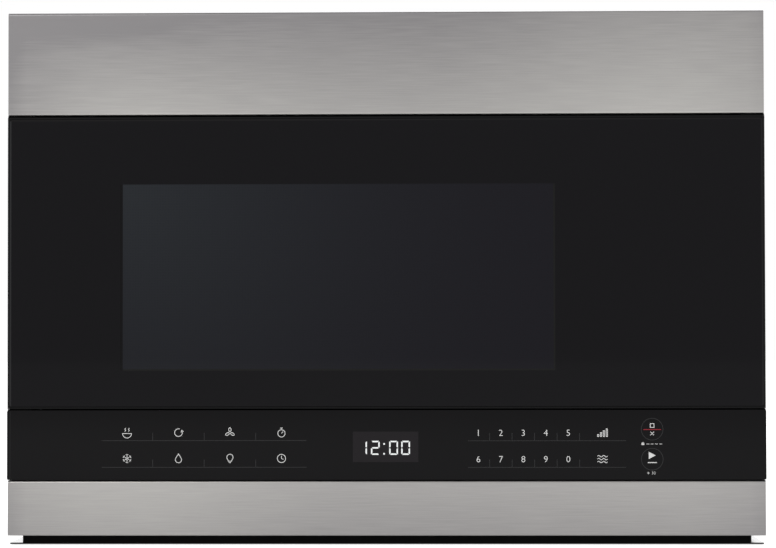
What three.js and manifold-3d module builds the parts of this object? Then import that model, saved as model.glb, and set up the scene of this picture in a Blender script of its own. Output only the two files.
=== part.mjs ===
// Over the range microwave oven, 24 inch class, built as separate pieces.
// Millimetres. +X is the viewer's right, the front faces -Y and +Z is up.
// The origin is the middle of the underside.

import * as THREE from 'three';
import { mergeVertices } from 'three/addons/utils/BufferGeometryUtils.js';
import Module from 'manifold-3d';

const wasm = await Module();
wasm.setup();

// ---- Driving sizes ----

const unitWidth = 607;
const unitDepth = 397;

const sheet = 1; // steel sheet of the case, the cavity and the trims
const seat = 0.3; // gap left where one piece rests in or on another
const doorSeam = 1.2; // reveal above and below the door
const stripSeam = 0.6; // reveal between the control panel and the lower strip

// Heights of the front, from the underside up.
const baseDrop = 7.3;
const lowerStripHeight = 44.1;
const controlHeight = 55.6;
const doorHeight = 234;
const topStripHeight = 83;

// Outer case and base.
const caseInset = 1; // case side behind the front's edge
const caseFlange = 10; // inward flange along the case's front edges
const hingeRoom = 32; // height kept free of that flange beside each hinge
const cornerCut = 75; // length of the case's sides cut clear of the base at the front corners
const baseSetback = 10; // front lip of the base behind the front face
const panWall = 12;
const boltHoleRadius = 5;
const boltPitch = 200;
const boltBehindFront = 138;

// Strips at the top and bottom of the front.
const stripStep = 1; // strips behind the door glass
const stripInset = 0.5;
const stripBend = 2;
const stripReturn = 15;
const grilleDepth = 50; // top return of the top strip, with the exhaust grille in it
const grilleSlotWidth = 8;
const grilleSlotLength = 20;
const grillePitch = 24;
const grilleMargin = 53; // grille end to the side of the unit
const grilleRear = 4; // slots' ends before the oven's front plate

// Cooking cavity.
const leftDuctWidth = 65.5;
const machineBayWidth = 141.5;
const cavitySill = 17.2; // door's lower edge to the cavity floor
const cavityHead = 16.8; // cavity roof to the door's upper edge
const cavityBehind = 24.5; // cavity's back to the inside of the case's back
const cavityCorner = 8;
const recessRadius = 104;
const recessDepth = 2;
const spindleRoom = 4;
const ventFromFront = 40; // air holes in the right wall
const ventRise = 60;
const portLength = 80;
const portHeight = 50;
const portBehindCentre = 50;
const portDrop = 80; // port's upper edge below the roof
const lampOutside = 24; // oven lamp outside the left wall
const lampWindowRadius = 18;
const lampSocketBehind = 18; // lamp's socket behind the middle of its window
const bulbNeck = 7;
const bulbRadius = 12;
const bulbLength = 40;
const bulbSeat = 8;
const lampBehindCentre = 60;
const lampDrop = 40;

// Turntable.
const trayRadius = 142;
const trayThickness = 4;
const trayRimHeight = 14;
const rollerRadius = 7.5;
const rollerWidth = 7;
const rollerOrbit = 88;
const ringWidth = 8;
const ringHeight = 6;
const axleRadius = 2;
const spindleRadius = 3.5;
const flatStart = 3; // foot of the spindle's flat above the recess floor
const couplerRoof = 3; // over the spindle's end
const trayBend = 18; // width of the tray's raised edge
const lugRadius = 3.5; // driving lugs under the tray
const lugOrbit = 16;
const lugDrop = 4;
const motorRadius = 25;
const motorHeight = 15;

// Door.
const doorDepth = 38;
const doorGap = 2.5; // door's back to the oven's front plate
const hingeInset = 10; // hinge axis from the door's left edge
const hingeDepth = 22.5; // hinge axis from the door's front
const hingePinRadius = 3;
const hingePinLength = 13;
const glassThickness = 4;
const doorRim = 1.8; // frame that shows round the glass
const glassCorner = 2;
const frameCorner = 6;
const frameLeft = 32;
const frameRight = 46;
const frameBand = 16;
const windowWidth = 346.4;
const windowHeight = 149.5;
const windowSill = 30.8; // door's lower edge to the window
const coverThickness = 3.3;
const chokeDepth = 10;
const chokeWidth = 22;
const paneThickness = 1.7;
const paneLap = 8;
const paneCorner = 4;
const gripDepth = 14;
const gripHeight = 14;
const gripWall = 3; // glass to the grip pocket
const gripMargin = 30;
const pawlInset = 22; // latch hooks from the door's right edge
const pawlWidth = 6;
const pawlDepth = 12;
const pawlMargin = 40;
const hookHeight = 8;
const hookNose = 4;
const hookLength = 6; // nose of the hook
const hookRoom = 1; // round the hooks in their slots
const hookReach = 21; // hook tip beyond the door's back
const lowHook = 52; // lower hook above the door's lower edge
const hookDrop = 60; // upper hook below the door's upper edge
const latchTravel = 4;
const latchDepth = 40;
const springRadius = 2.4;
const springWire = 0.5;
const springTurns = 5;
const springLength = 15;

const hingeArm = 2; // thickness of the hinge arms
const hingeArmHalf = 6;
const plungerRadius = 1.6;
const switchThickness = 10.3;

// Control panel.
const controlGlass = 3;
const panelCorner = 1.2;
const postRadius = 3; // posts that carry the board
const postInset = 8;
const postRise = 18; // posts above and below the display's middle
const fasciaWall = 2;
const displayWidth = 52;
const displayHeight = 24;
const displayCentre = -0.8; // display from the unit's middle
const displayRise = 26; // display's middle above the panel's lower edge
const boardThickness = 1.6;
const boardStandoff = 9;
const boardLeft = -150;
const boardRight = 200;

// Charcoal filter behind the top strip.
const carbonWidth = 280;
const carbonThickness = 10;
const carbonFrameWall = 4;
const carbonFrameBack = 2;
const carbonLedge = 7;
const carbonBoxRoom = 11; // top strip's height over the filter frame's
const carbonCell = 22;
const carbonPitch = 26;

// Filters and lamp in the underside.
const filterWidth = 150;
const filterLength = 200;
const filterThickness = 8;
const filterSpacing = 0.55; // between the filters' middles, as a share of the cavity's width
const filterLedge = 6;
const filterFromFront = 128;
const lampWidth = 96;
const lampLength = 44;
const lampFromFront = 50;
const lensThickness = 2;
const lensLap = 4;
const lampTrayHeight = 18;
const lampTraySlope = 10;
const emitterPitch = 22;
const emitterRadius = 3;
const emitterLength = 5;

// Blower and exhaust.
const wheelRadius = 34;
const wheelWidth = 56;
const wheelBlades = 14;
const scrollWidth = 64;
const scrollStart = 37;
const scrollGrowth = 9;
const scrollWall = 1.2;
const scrollSweep = 250; // degrees
const blowerMotorLength = 46;
const blowerMotorRadius = 27;
const blowerGap = 8; // motor to each scroll
const blowerShaftRadius = 3;
const exhaustWidth = 254;
const exhaustDepth = 83;
const exhaustFromBack = 30;
const collarHeight = 16;
const collarWall = 1.5;
const flapThickness = 1.2;
const flapDrop = 5; // flap's pins below the top
const flapPinRadius = 2;
const flapAngleRoom = 1.5; // flap's edge to the collar

// Machine bay.
const guideDepth = 25;
const guideLength = 110;
const guideHeight = 110;
const guideDrop = 20; // waveguide's top below the cavity's roof
const magnetronDrop = 36;
const antennaRadius = 9;
const bayOffset = 4; // transformer and capacitor beside the bay's middle
const transformerFromBack = 70;
const capacitorBehindCentre = 24;
const fanRadius = 50;
const fanFrameHeight = 120;
const fanDepth = 20;
const fanWall = 2;
const fanTipRoom = 2; // round the blades
const fanArmHeight = 8;
const fanShaftRadius = 2;
const fanStack = 16; // laminations of the fan's motor
const fanBehindRoom = 34; // fan's front before the cavity's back
const fanDrop = 84; // fan's shaft below the cavity's roof
const fanBlades = 5;
const cordHoleRadius = 11;
const cordFromSide = 50;
const cordFromBack = 45;
const bushingBore = 5;
const bushingLap = 3; // bushing's flange beyond the hole
const bushingDepth = 9;

// ---- Places worked out from those sizes ----

const halfWidth = unitWidth / 2;
const front = -unitDepth / 2;
const back = unitDepth / 2;

const lowerStripTop = baseDrop + lowerStripHeight;
const controlBottom = lowerStripTop + stripSeam;
const controlTop = controlBottom + controlHeight;
const doorBottom = controlTop + doorSeam;
const doorTop = doorBottom + doorHeight;
const topStripBottom = doorTop + doorSeam;
const unitHeight = topStripBottom + topStripHeight;

const stripFront = front + stripStep;
const grilleBack = stripFront + grilleDepth;
const caseFront = stripFront + stripReturn + seat;
const caseBack = back - sheet;
const caseBottom = sheet + seat;
const caseHalf = halfWidth - caseInset;
const bayHalf = caseHalf - sheet - seat; // what fits between the case sides

const plateFront = front + doorDepth + doorGap;
const plateBack = plateFront + sheet;

const cavityLeft = -halfWidth + leftDuctWidth;
const cavityRight = halfWidth - machineBayWidth;
const cavityFloor = doorBottom + cavitySill;
const cavityTop = doorTop - cavityHead;
const cavityBack = caseBack - cavityBehind;
const cavityCentreX = (cavityLeft + cavityRight) / 2;
const cavityCentreY = (plateBack + cavityBack) / 2;
const recessFloor = cavityFloor - recessDepth;
const portMiddle = cavityCentreY + portBehindCentre;
const portFront = portMiddle - portLength / 2;
const portBack = portMiddle + portLength / 2;
const portTop = cavityTop - portDrop;
const portBottom = portTop - portHeight;
const lampSpotX = cavityLeft - lampOutside;
const lampSpotY = cavityCentreY + lampBehindCentre;
const lampSpotZ = cavityTop - lampDrop;
const lampSocketY = lampSpotY + lampSocketBehind;

const hingeX = -halfWidth + hingeInset;
const hingeY = front + hingeDepth;
const pawlX = halfWidth - pawlInset;
const highHook = doorHeight - hookDrop;

const filterY = front + filterFromFront + filterLength / 2;
const lampY = front + lampFromFront + lampLength / 2;

const exhaustY = caseBack - exhaustFromBack - exhaustDepth / 2;
const collarBottom = unitHeight - collarHeight;
const bayFloor = sheet + seat; // what stands on the base pan starts here
const bayMiddle = (cavityRight + caseHalf) / 2;
const fanX = bayMiddle;
const cordX = caseHalf - cordFromSide;
const cordY = caseBack - cordFromBack;

// ---- Solids ----

// Turns a closed three.js geometry into a solid that can be joined and cut.
function solidOf(geometry) {
  const bare = geometry.clone();
  bare.deleteAttribute('normal');
  bare.deleteAttribute('uv');
  const merged = mergeVertices(bare);
  const points = merged.attributes.position.array;
  const triangles = [];
  for (let i = 0; i < merged.index.count; i += 3) {
    const [a, b, c] = merged.index.array.subarray(i, i + 3);
    if (a !== b && b !== c && c !== a) {
      triangles.push(a, b, c);
    }
  }
  const mesh = new wasm.Mesh({
    numProp: 3,
    vertProperties: new Float32Array(points),
    triVerts: new Uint32Array(facingOut(points, triangles)),
  });
  return new wasm.Manifold(mesh);
}

// Turns the triangles over where they enclose a negative volume.
function facingOut(points, triangles) {
  let volume = 0;
  for (let i = 0; i < triangles.length; i += 3) {
    const [a, b, c] = triangles.slice(i, i + 3).map((k) => new THREE.Vector3().fromArray(points, 3 * k));
    volume += a.dot(b.cross(c));
  }
  return volume < 0 ? triangles.reverse() : triangles;
}

function geometryOf(solid) {
  const mesh = solid.getMesh();
  const geometry = new THREE.BufferGeometry();
  geometry.setAttribute('position', new THREE.BufferAttribute(mesh.vertProperties, 3));
  geometry.setIndex(new THREE.BufferAttribute(mesh.triVerts, 1));
  return geometry;
}

function block(x0, x1, y0, y1, z0, z1) {
  const geometry = new THREE.BoxGeometry(x1 - x0, y1 - y0, z1 - z0);
  geometry.translate((x0 + x1) / 2, (y0 + y1) / 2, (z0 + z1) / 2);
  return solidOf(geometry);
}

// A block given by its middle and its full sizes.
function centredBlock(x, y, z, width, depth, height) {
  return block(x - width / 2, x + width / 2, y - depth / 2, y + depth / 2, z - height / 2, z + height / 2);
}

function extrusion(shape, depth, corners = 4) {
  return new THREE.ExtrudeGeometry(shape, { depth, bevelEnabled: false, curveSegments: corners });
}

// Extrudes a shape drawn in (x, y) upwards.
function prismZ(shape, z0, z1, corners) {
  const geometry = extrusion(shape, z1 - z0, corners);
  geometry.translate(0, 0, z0);
  return solidOf(geometry);
}

// Extrudes a shape drawn in (y, z) to the right.
function prismX(shape, x0, x1, corners) {
  const geometry = extrusion(shape, x1 - x0, corners);
  const turn = new THREE.Matrix4().makeBasis(
    new THREE.Vector3(0, 1, 0),
    new THREE.Vector3(0, 0, 1),
    new THREE.Vector3(1, 0, 0),
  );
  geometry.applyMatrix4(turn);
  geometry.translate(x0, 0, 0);
  return solidOf(geometry);
}

// Extrudes a shape drawn in (x, z) from front to back.
function prismY(shape, y0, y1, corners) {
  const geometry = extrusion(shape, y1 - y0, corners);
  geometry.rotateX(Math.PI / 2);
  geometry.translate(0, y1, 0);
  return solidOf(geometry);
}

// A round bar along one axis; a and b are its place on the other two, in x, y, z order.
function rod(axis, radius, from, to, a, b, sides = 16) {
  const geometry = new THREE.CylinderGeometry(radius, radius, to - from, sides);
  const middle = (from + to) / 2;
  if (axis === 'x') {
    geometry.rotateZ(-Math.PI / 2);
    geometry.translate(middle, a, b);
  } else if (axis === 'y') {
    geometry.translate(a, middle, b);
  } else {
    geometry.rotateX(Math.PI / 2);
    geometry.translate(a, b, middle);
  }
  return solidOf(geometry);
}

// Turns a profile of [radius, height] points about the Z axis.
function turned(profile, sides = 20) {
  const points = profile.map(([r, z]) => new THREE.Vector2(r, z));
  const geometry = new THREE.LatheGeometry(points, sides);
  geometry.rotateX(Math.PI / 2);
  return solidOf(geometry);
}

function polygon(points) {
  return new THREE.Shape(points.map(([u, v]) => new THREE.Vector2(u, v)));
}

function roundedRect(u0, u1, v0, v1, radius) {
  const shape = new THREE.Shape();
  shape.moveTo(u0 + radius, v0);
  shape.lineTo(u1 - radius, v0);
  shape.absarc(u1 - radius, v0 + radius, radius, -Math.PI / 2, 0);
  shape.lineTo(u1, v1 - radius);
  shape.absarc(u1 - radius, v1 - radius, radius, 0, Math.PI / 2);
  shape.lineTo(u0 + radius, v1);
  shape.absarc(u0 + radius, v1 - radius, radius, Math.PI / 2, Math.PI);
  shape.lineTo(u0, v0 + radius);
  shape.absarc(u0 + radius, v0 + radius, radius, Math.PI, 1.5 * Math.PI);
  return shape;
}

function join(first, ...others) {
  return others.reduce((whole, other) => whole.add(other), first);
}

function cut(first, ...others) {
  return others.reduce((rest, other) => rest.subtract(other), first);
}

// count values spaced by pitch about the middle.
function spread(count, pitch, middle = 0) {
  return Array.from({ length: count }, (_, i) => middle + (i - (count - 1) / 2) * pitch);
}

function moved(solid, matrix) {
  const geometry = geometryOf(solid);
  geometry.applyMatrix4(matrix);
  return solidOf(geometry);
}

function turnedAboutX(solid, angle) {
  return moved(solid, new THREE.Matrix4().makeRotationX(angle));
}

function turnedAboutY(solid, angle) {
  return moved(solid, new THREE.Matrix4().makeRotationY(angle));
}

function turnedAboutZ(solid, angle) {
  return moved(solid, new THREE.Matrix4().makeRotationZ(angle));
}

function shifted(solid, x, y, z) {
  return moved(solid, new THREE.Matrix4().makeTranslation(x, y, z));
}

// Angles of count copies in a full turn, in radians.
function fullTurn(count, start = 0) {
  return Array.from({ length: count }, (_, i) => start + (i * 2 * Math.PI) / count);
}

// ---- Materials ----

function finish(color, roughness, metalness, extra = {}) {
  return new THREE.MeshStandardMaterial({ color, roughness, metalness, ...extra });
}

const brushedSteel = () => finish(0xa7a3a0, 0.36, 1);
const zincSteel = () => finish(0xa9adae, 0.45, 0.9);
const bareSteel = () => finish(0x8d9092, 0.35, 1);
const aluminium = () => finish(0xb9bcbe, 0.4, 1);
const greyPaint = () => finish(0xc9cac8, 0.5, 0.1);
const blackPaint = () => finish(0x161617, 0.55, 0.1);
const cavityEnamel = () => finish(0xb4b2ac, 0.4, 0.05);
const blackGlass = () => finish(0x1b1a1d, 0.06, 0);
const clearPane = () => finish(0xc8d0d2, 0.08, 0, { transparent: true, opacity: 0.35 });
const trayGlass = () => finish(0xcfdad9, 0.05, 0, { transparent: true, opacity: 0.4 });
const blackPlastic = () => finish(0x1c1c1d, 0.5, 0);
const greyPlastic = () => finish(0x77797b, 0.5, 0);
const whitePlastic = () => finish(0xdad8d0, 0.5, 0);
const circuitBoard = () => finish(0x2e5a3a, 0.55, 0);
const mica = () => finish(0xb9ad92, 0.6, 0);
const carbon = () => finish(0x232325, 0.9, 0);
const motorSteel = () => finish(0x6f7376, 0.4, 0.9);
const laminations = () => finish(0x54585b, 0.5, 0.8);
const lampGlass = () => finish(0xe6e2d2, 0.15, 0, { transparent: true, opacity: 0.6 });

const model = new THREE.Group();

function place(parent, name, solid, material) {
  const mesh = new THREE.Mesh(geometryOf(solid), material);
  mesh.name = name;
  parent.add(mesh);
}

function groupAt(x, y, z, parent = model) {
  const group = new THREE.Group();
  group.position.set(x, y, z);
  parent.add(group);
  return group;
}

// ---- Case, base and back ----

// Folded sheet over the top and both sides, stepped back where the door closes against it.
// Its top starts behind the grille of the top strip and is level with it.
function outerCase() {
  const side = polygon([
    [caseFront, baseDrop],
    [caseFront, controlTop],
    [plateFront, controlTop],
    [plateFront, topStripBottom],
    [caseFront, topStripBottom],
    [caseFront, unitHeight],
    [caseBack, unitHeight],
    [caseBack, caseBottom],
    [caseFront + cornerCut, caseBottom],
    [caseFront + cornerCut, baseDrop],
  ]);
  const inside = block(sheet - caseHalf, caseHalf - sheet, front, back, 0, unitHeight - sheet);
  let shell = cut(prismX(side, -caseHalf, caseHalf), inside);
  for (const side of [-1, 1]) {
    const [x0, x1] = [side * caseHalf, side * (caseHalf - caseFlange)].sort((a, b) => a - b);
    const lower = block(x0, x1, caseFront, caseFront + sheet, baseDrop, controlTop - hingeRoom);
    const upper = block(x0, x1, caseFront, caseFront + sheet, topStripBottom + hingeRoom, unitHeight);
    shell = join(shell, lower, upper);
  }
  const [under, over] = [unitHeight - 2 * sheet, unitHeight + sheet];
  shell = cut(
    shell,
    block(-halfWidth, halfWidth, front, grilleBack + seat, unitHeight - sheet - seat, over),
    centredBlock(0, exhaustY, unitHeight, exhaustWidth, exhaustDepth, 3 * sheet),
    rod('z', cordHoleRadius, under, over, cordX, cordY),
  );
  for (const x of spread(3, boltPitch)) {
    shell = cut(shell, rod('z', boltHoleRadius, under, over, x, front + boltBehindFront, 12));
  }
  return shell;
}

// Bottom pan with its front lip, filter guides and openings.
function basePan() {
  const baseFront = front + baseSetback;
  const lipHalf = caseHalf - caseFlange - seat;
  let pan = join(
    block(-caseHalf, caseHalf, baseFront, caseBack, 0, sheet),
    block(-lipHalf, lipHalf, baseFront, baseFront + sheet, 0, baseDrop - seat),
  );
  const wallFront = caseFront + cornerCut + seat;
  const wallBack = caseBack - seat;
  for (const side of [-1, 1]) {
    const [x0, x1] = [side * bayHalf, side * (bayHalf - sheet)].sort((a, b) => a - b);
    pan = join(pan, block(x0, x1, wallFront, wallBack, 0, panWall));
  }
  pan = join(pan, block(-bayHalf, bayHalf, wallBack - sheet, wallBack, 0, panWall));
  for (const x of filterCentres()) {
    pan = filterGuides(pan, x);
  }
  pan = cut(pan, centredBlock(cavityCentreX, lampY, 0, lampWidth, lampLength, 3 * sheet));
  return coolingSlots(pan);
}

function filterCentres() {
  return spread(2, filterSpacing * (cavityRight - cavityLeft), cavityCentreX);
}

// Opening for one grease filter with a folded guide along each side of it.
function filterGuides(pan, x) {
  const openWidth = filterWidth - 2 * filterLedge;
  const openLength = filterLength - 2 * filterLedge;
  const guideTop = sheet + seat + filterThickness + seat;
  let result = cut(pan, centredBlock(x, filterY, 0, openWidth, openLength, 3 * sheet));
  for (const side of [-1, 1]) {
    const inner = filterWidth / 2 + seat;
    const uprightX = x + side * (inner + sheet / 2);
    const upright = centredBlock(uprightX, filterY, guideTop / 2, sheet, filterLength, guideTop);
    const lipReach = filterLedge + sheet + seat;
    const lipX = x + side * (inner + sheet - lipReach / 2);
    const lip = centredBlock(lipX, filterY, guideTop + sheet / 2, lipReach, filterLength, sheet);
    result = join(result, upright, lip);
  }
  return result;
}

// Rows of slots that let cooling air into the machine bay.
function coolingSlots(pan) {
  const slotLength = 70;
  const slotWidth = 4;
  const slotPitch = 11;
  const slotsFromFront = 90;
  const slotMiddle = front + slotsFromFront;
  let result = pan;
  for (const y of spread(8, slotPitch, slotMiddle)) {
    result = cut(result, centredBlock(bayMiddle, y, 0, slotLength, slotWidth, 3 * sheet));
  }
  return result;
}

// Flat back with pressed stiffening ribs, a blanked exhaust panel and slots for the wall plate.
function backPlate() {
  const pressDepth = 4;
  const ribHeight = 22;
  const ribMargin = 60;
  const ribHalf = caseHalf - ribMargin;
  const panelHeight = 56;
  const panelDrop = 12;
  const ribLevels = [unitHeight * 0.3, unitHeight * 0.55];
  const panelZ = unitHeight - panelDrop - panelHeight / 2;
  let plate = block(-caseHalf, caseHalf, caseBack, back, caseBottom, unitHeight);
  for (const z of ribLevels) {
    plate = pressed(plate, -ribHalf, ribHalf, z - ribHeight / 2, z + ribHeight / 2, pressDepth);
  }
  plate = pressed(
    plate,
    -exhaustWidth / 2,
    exhaustWidth / 2,
    panelZ - panelHeight / 2,
    panelZ + panelHeight / 2,
    pressDepth / 2,
  );
  const hangSlotWidth = 24;
  const hangSlotHeight = 5;
  const hangSlotZ = 34;
  const hangPitch = 150;
  for (const x of spread(4, hangPitch)) {
    plate = cut(plate, centredBlock(x, caseBack, hangSlotZ, hangSlotWidth, 4 * sheet, hangSlotHeight));
  }
  return plate;
}

// Presses a shallow tray shape into the back, standing inwards.
function pressed(plate, x0, x1, z0, z1, depth) {
  const raised = block(x0, x1, caseBack - depth, back, z0, z1);
  const floor = caseBack - depth + sheet;
  const hollow = block(x0 + sheet, x1 - sheet, floor, back + sheet, z0 + sheet, z1 - sheet);
  return cut(join(plate, raised), hollow);
}

// Flange plate that the door closes against, with the oven mouth in it.
function frontPlate() {
  const top = unitHeight - sheet - seat;
  const ventLap = 4; // plate behind the edge of the filter frame
  const ventWidth = carbonWidth - 10;
  const ventHeight = filterBoxHeight - 2 * ventLap;
  const slotHalf = pawlWidth / 2 + 2 * hookRoom;
  let plate = block(-bayHalf, bayHalf, plateFront, plateBack, controlBottom, top);
  const mouth = roundedRect(cavityLeft, cavityRight, cavityFloor, cavityTop, cavityCorner);
  plate = cut(
    plate,
    prismY(mouth, plateFront - sheet, plateBack + sheet),
    centredBlock(0, plateFront, filterBoxZ, ventWidth, 4 * sheet, ventHeight),
  );
  for (const hookZ of [lowHook, highHook]) {
    const bottom = doorBottom + hookZ - hookNose - hookRoom;
    const slotTop = doorBottom + hookZ + hookHeight + latchTravel + hookRoom;
    plate = cut(
      plate,
      block(pawlX - slotHalf, pawlX + slotHalf, plateFront - sheet, plateBack + sheet, bottom, slotTop),
    );
  }
  return plate;
}

// ---- Front strips ----

// Section of a strip in (y, z) with rounded front corners, drawn in by an inset.
function stripSection(z0, z1, inset, rear) {
  const centreY = stripFront + stripBend;
  const radius = stripBend - inset;
  const shape = new THREE.Shape();
  shape.moveTo(rear, z0 + inset);
  shape.lineTo(rear, z1 - inset);
  shape.lineTo(centreY, z1 - inset);
  shape.absarc(centreY, z1 - stripBend, radius, Math.PI / 2, Math.PI);
  shape.lineTo(centreY - radius, z0 + stripBend);
  shape.absarc(centreY, z0 + stripBend, radius, Math.PI, 1.5 * Math.PI);
  return shape;
}

// Folded strip: flat face, rounded bends, closed ends and a return along the top and the bottom.
function strip(z0, z1) {
  const half = halfWidth - stripInset;
  const rear = stripFront + stripReturn;
  return cut(
    prismX(stripSection(z0, z1, 0, rear), -half, half, 3),
    prismX(stripSection(z0, z1, sheet, rear + 1), sheet - half, half - sheet, 3),
  );
}

// Top strip: its top return bridges the sides of the case and carries the exhaust grille.
function topTrim() {
  const half = halfWidth - stripInset;
  const returnFront = stripFront + stripReturn - 1;
  const upperReturn = block(-half, half, returnFront, grilleBack, unitHeight - sheet, unitHeight);
  let trim = join(strip(topStripBottom, unitHeight), upperReturn);
  const count = Math.floor((2 * (halfWidth - grilleMargin) - grillePitch) / grillePitch);
  const slotY = plateFront - grilleRear - grilleSlotLength / 2;
  for (const x of spread(count, grillePitch)) {
    trim = cut(trim, centredBlock(x, slotY, unitHeight, grilleSlotWidth, grilleSlotLength, 3 * sheet));
  }
  return join(trim, shelf(topStripBottom, topStripBottom + sheet));
}

// Closes the gap behind a front piece, back to the front plate, clear of the hinge arm.
function shelf(z0, z1) {
  const notch = hingeX + 2 * hingeInset;
  return block(notch, bayHalf, caseFront - 2 * seat, plateFront - seat, z0, z1);
}

function lowerTrim() {
  return strip(baseDrop, lowerStripTop);
}

// ---- Charcoal filter behind the top strip ----

const filterBoxHeight = topStripHeight - carbonBoxRoom;
const filterBoxZ = (topStripBottom + unitHeight) / 2;
const filterBoxBack = plateFront - seat;

// Tray that holds the filter's edges, open at the front and the back.
function ventFrame() {
  const pocketHalf = carbonWidth / 2 + seat;
  const half = pocketHalf + carbonFrameWall;
  const pocketHeight = filterBoxHeight - 2 * carbonFrameWall;
  const airWidth = carbonWidth - 2 * carbonLedge;
  const airHeight = pocketHeight - 2 * carbonLedge;
  const z0 = filterBoxZ - filterBoxHeight / 2;
  const z1 = filterBoxZ + filterBoxHeight / 2;
  const pocketBack = filterBoxBack - carbonFrameBack;
  return cut(
    block(-half, half, pocketBack - carbonThickness, filterBoxBack, z0, z1),
    block(-pocketHalf, pocketHalf, front, pocketBack, z0 + carbonFrameWall, z1 - carbonFrameWall),
    centredBlock(0, filterBoxBack, filterBoxZ, airWidth, 4 * carbonThickness, airHeight),
  );
}

// Carbon block with a grid of cells in its front.
function charcoalFilter() {
  const half = filterBoxHeight / 2 - carbonFrameWall - seat;
  const z = filterBoxZ;
  const y1 = filterBoxBack - carbonFrameBack - seat;
  const y0 = y1 - carbonThickness;
  const columns = Math.floor(carbonWidth / carbonPitch);
  const rows = Math.floor((2 * half) / carbonPitch);
  let filter = block(-carbonWidth / 2, carbonWidth / 2, y0, y1, z - half, z + half);
  for (const x of spread(columns, carbonPitch)) {
    for (const row of spread(rows, carbonPitch, z)) {
      filter = cut(filter, centredBlock(x, y0, row, carbonCell, carbonThickness, carbonCell));
    }
  }
  return filter;
}

// ---- Cooking cavity ----

function ovenCavity() {
  const outer = roundedRect(
    cavityLeft - sheet,
    cavityRight + sheet,
    cavityFloor - sheet,
    cavityTop + sheet,
    cavityCorner + sheet,
  );
  const inner = roundedRect(cavityLeft, cavityRight, cavityFloor, cavityTop, cavityCorner);
  let shell = prismY(outer, plateBack, cavityBack + sheet, 3);
  const [x, y] = [cavityCentreX, cavityCentreY];
  const under = recessFloor - sheet;
  shell = join(shell, rod('z', recessRadius + sheet, under, cavityFloor - sheet / 2, x, y, 24));
  shell = cut(
    shell,
    prismY(inner, plateBack - sheet, cavityBack, 3),
    rod('z', recessRadius, recessFloor, cavityFloor + sheet, x, y, 24),
    rod('z', spindleRadius + spindleRoom, recessFloor - 2 * sheet, cavityFloor, x, y, 16),
    block(cavityRight - sheet, cavityRight + 2 * sheet, portFront, portBack, portBottom, portTop),
  );
  shell = perforated(shell, cavityLeft - sheet / 2, lampSpotY, lampSpotZ);
  return perforated(shell, cavityRight + sheet / 2, plateBack + ventFromFront, cavityFloor + ventRise);
}

// A patch of small holes through a side wall of the cavity.
function perforated(shell, x, y, z) {
  const holeRadius = 2.5;
  const holePitch = 8;
  const [columns, rows] = [2, 3];
  let result = shell;
  for (const holeY of spread(columns, holePitch, y)) {
    for (const holeZ of spread(rows, holePitch, z)) {
      result = cut(result, rod('x', holeRadius, x - 2 * sheet, x + 2 * sheet, holeY, holeZ, 6));
    }
  }
  return result;
}

// Mica plate over the waveguide port, with clipped corners.
function waveguideCover() {
  const lap = 10;
  const clip = 8;
  const [y0, y1] = [portFront - lap, portBack + lap];
  const [z0, z1] = [portBottom - lap, portTop + lap];
  const outline = polygon([
    [y0 + clip, z0],
    [y1 - clip, z0],
    [y1, z0 + clip],
    [y1, z1 - clip],
    [y1 - clip, z1],
    [y0 + clip, z1],
    [y0, z1 - clip],
    [y0, z0 + clip],
  ]);
  return prismX(outline, cavityRight - seat - sheet, cavityRight - seat);
}

// Bracket on the cavity's left side that holds the oven lamp.
function lampHolder() {
  const wall = cavityLeft - sheet - seat;
  const plateLength = 62;
  const plateHeight = 40;
  const platePast = 3; // plate's middle behind the lamp's
  const armThickness = 10;
  const armHeight = 20;
  const socketWall = 3;
  const socketNose = 4;
  const plateY = lampSpotY + platePast;
  const socketFront = lampSocketY - socketNose;
  const socketBack = lampSocketY + armThickness + socketNose;
  return cut(
    join(
      centredBlock(wall - sheet / 2, plateY, lampSpotZ, sheet, plateLength, plateHeight),
      block(
        lampSpotX,
        wall,
        lampSocketY,
        lampSocketY + armThickness,
        lampSpotZ - armHeight / 2,
        lampSpotZ + armHeight / 2,
      ),
      rod('y', bulbNeck + socketWall, socketFront, socketBack, lampSpotX, lampSpotZ),
    ),
    rod('x', lampWindowRadius, wall - 3 * sheet, wall + sheet, lampSpotY, lampSpotZ),
    rod('y', bulbNeck + seat, socketFront - 1, lampSocketY + bulbSeat, lampSpotX, lampSpotZ),
  );
}

// Pear-shaped bulb, drawn upwards from its cap.
function cavityLamp() {
  const profile = [
    [0, 0],
    [bulbNeck, 0],
    [bulbNeck, bulbLength * 0.33],
    [bulbRadius * 0.92, bulbLength * 0.48],
    [bulbRadius, bulbLength * 0.68],
    [bulbRadius * 0.75, bulbLength * 0.88],
    [bulbRadius * 0.33, bulbLength * 0.98],
    [0, bulbLength],
  ];
  return turned(profile, 12);
}

// ---- Turntable, drawn about the spindle with z = 0 on the recess floor ----

const trayBase = 2 * (rollerRadius + seat);
const couplerTop = trayBase - seat;
const spindleFlat = spindleRadius * 0.6; // flat from the spindle's axis

function turntableMotor() {
  const earReach = 9;
  const earWidth = 14;
  const screwRadius = 2.2;
  const plugSize = 16;
  const plugInset = 2;
  const boreDepth = 8;
  const top = -sheet - seat;
  const earHalf = motorRadius + earReach;
  const middle = top - motorHeight / 2;
  let motor = join(
    rod('z', motorRadius, top - motorHeight, top, 0, 0, 16),
    centredBlock(0, 0, top - sheet / 2, 2 * earHalf, earWidth, sheet),
    centredBlock(0, motorRadius, middle, plugSize, plugSize, motorHeight - 2 * plugInset),
  );
  for (const x of spread(2, 2 * earHalf - earReach)) {
    motor = cut(motor, rod('z', screwRadius, top - 2 * sheet, top + sheet, x, 0, 8));
  }
  return cut(motor, rod('z', spindleRadius + seat, top - boreDepth, top + sheet, 0, 0, 12));
}

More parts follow.
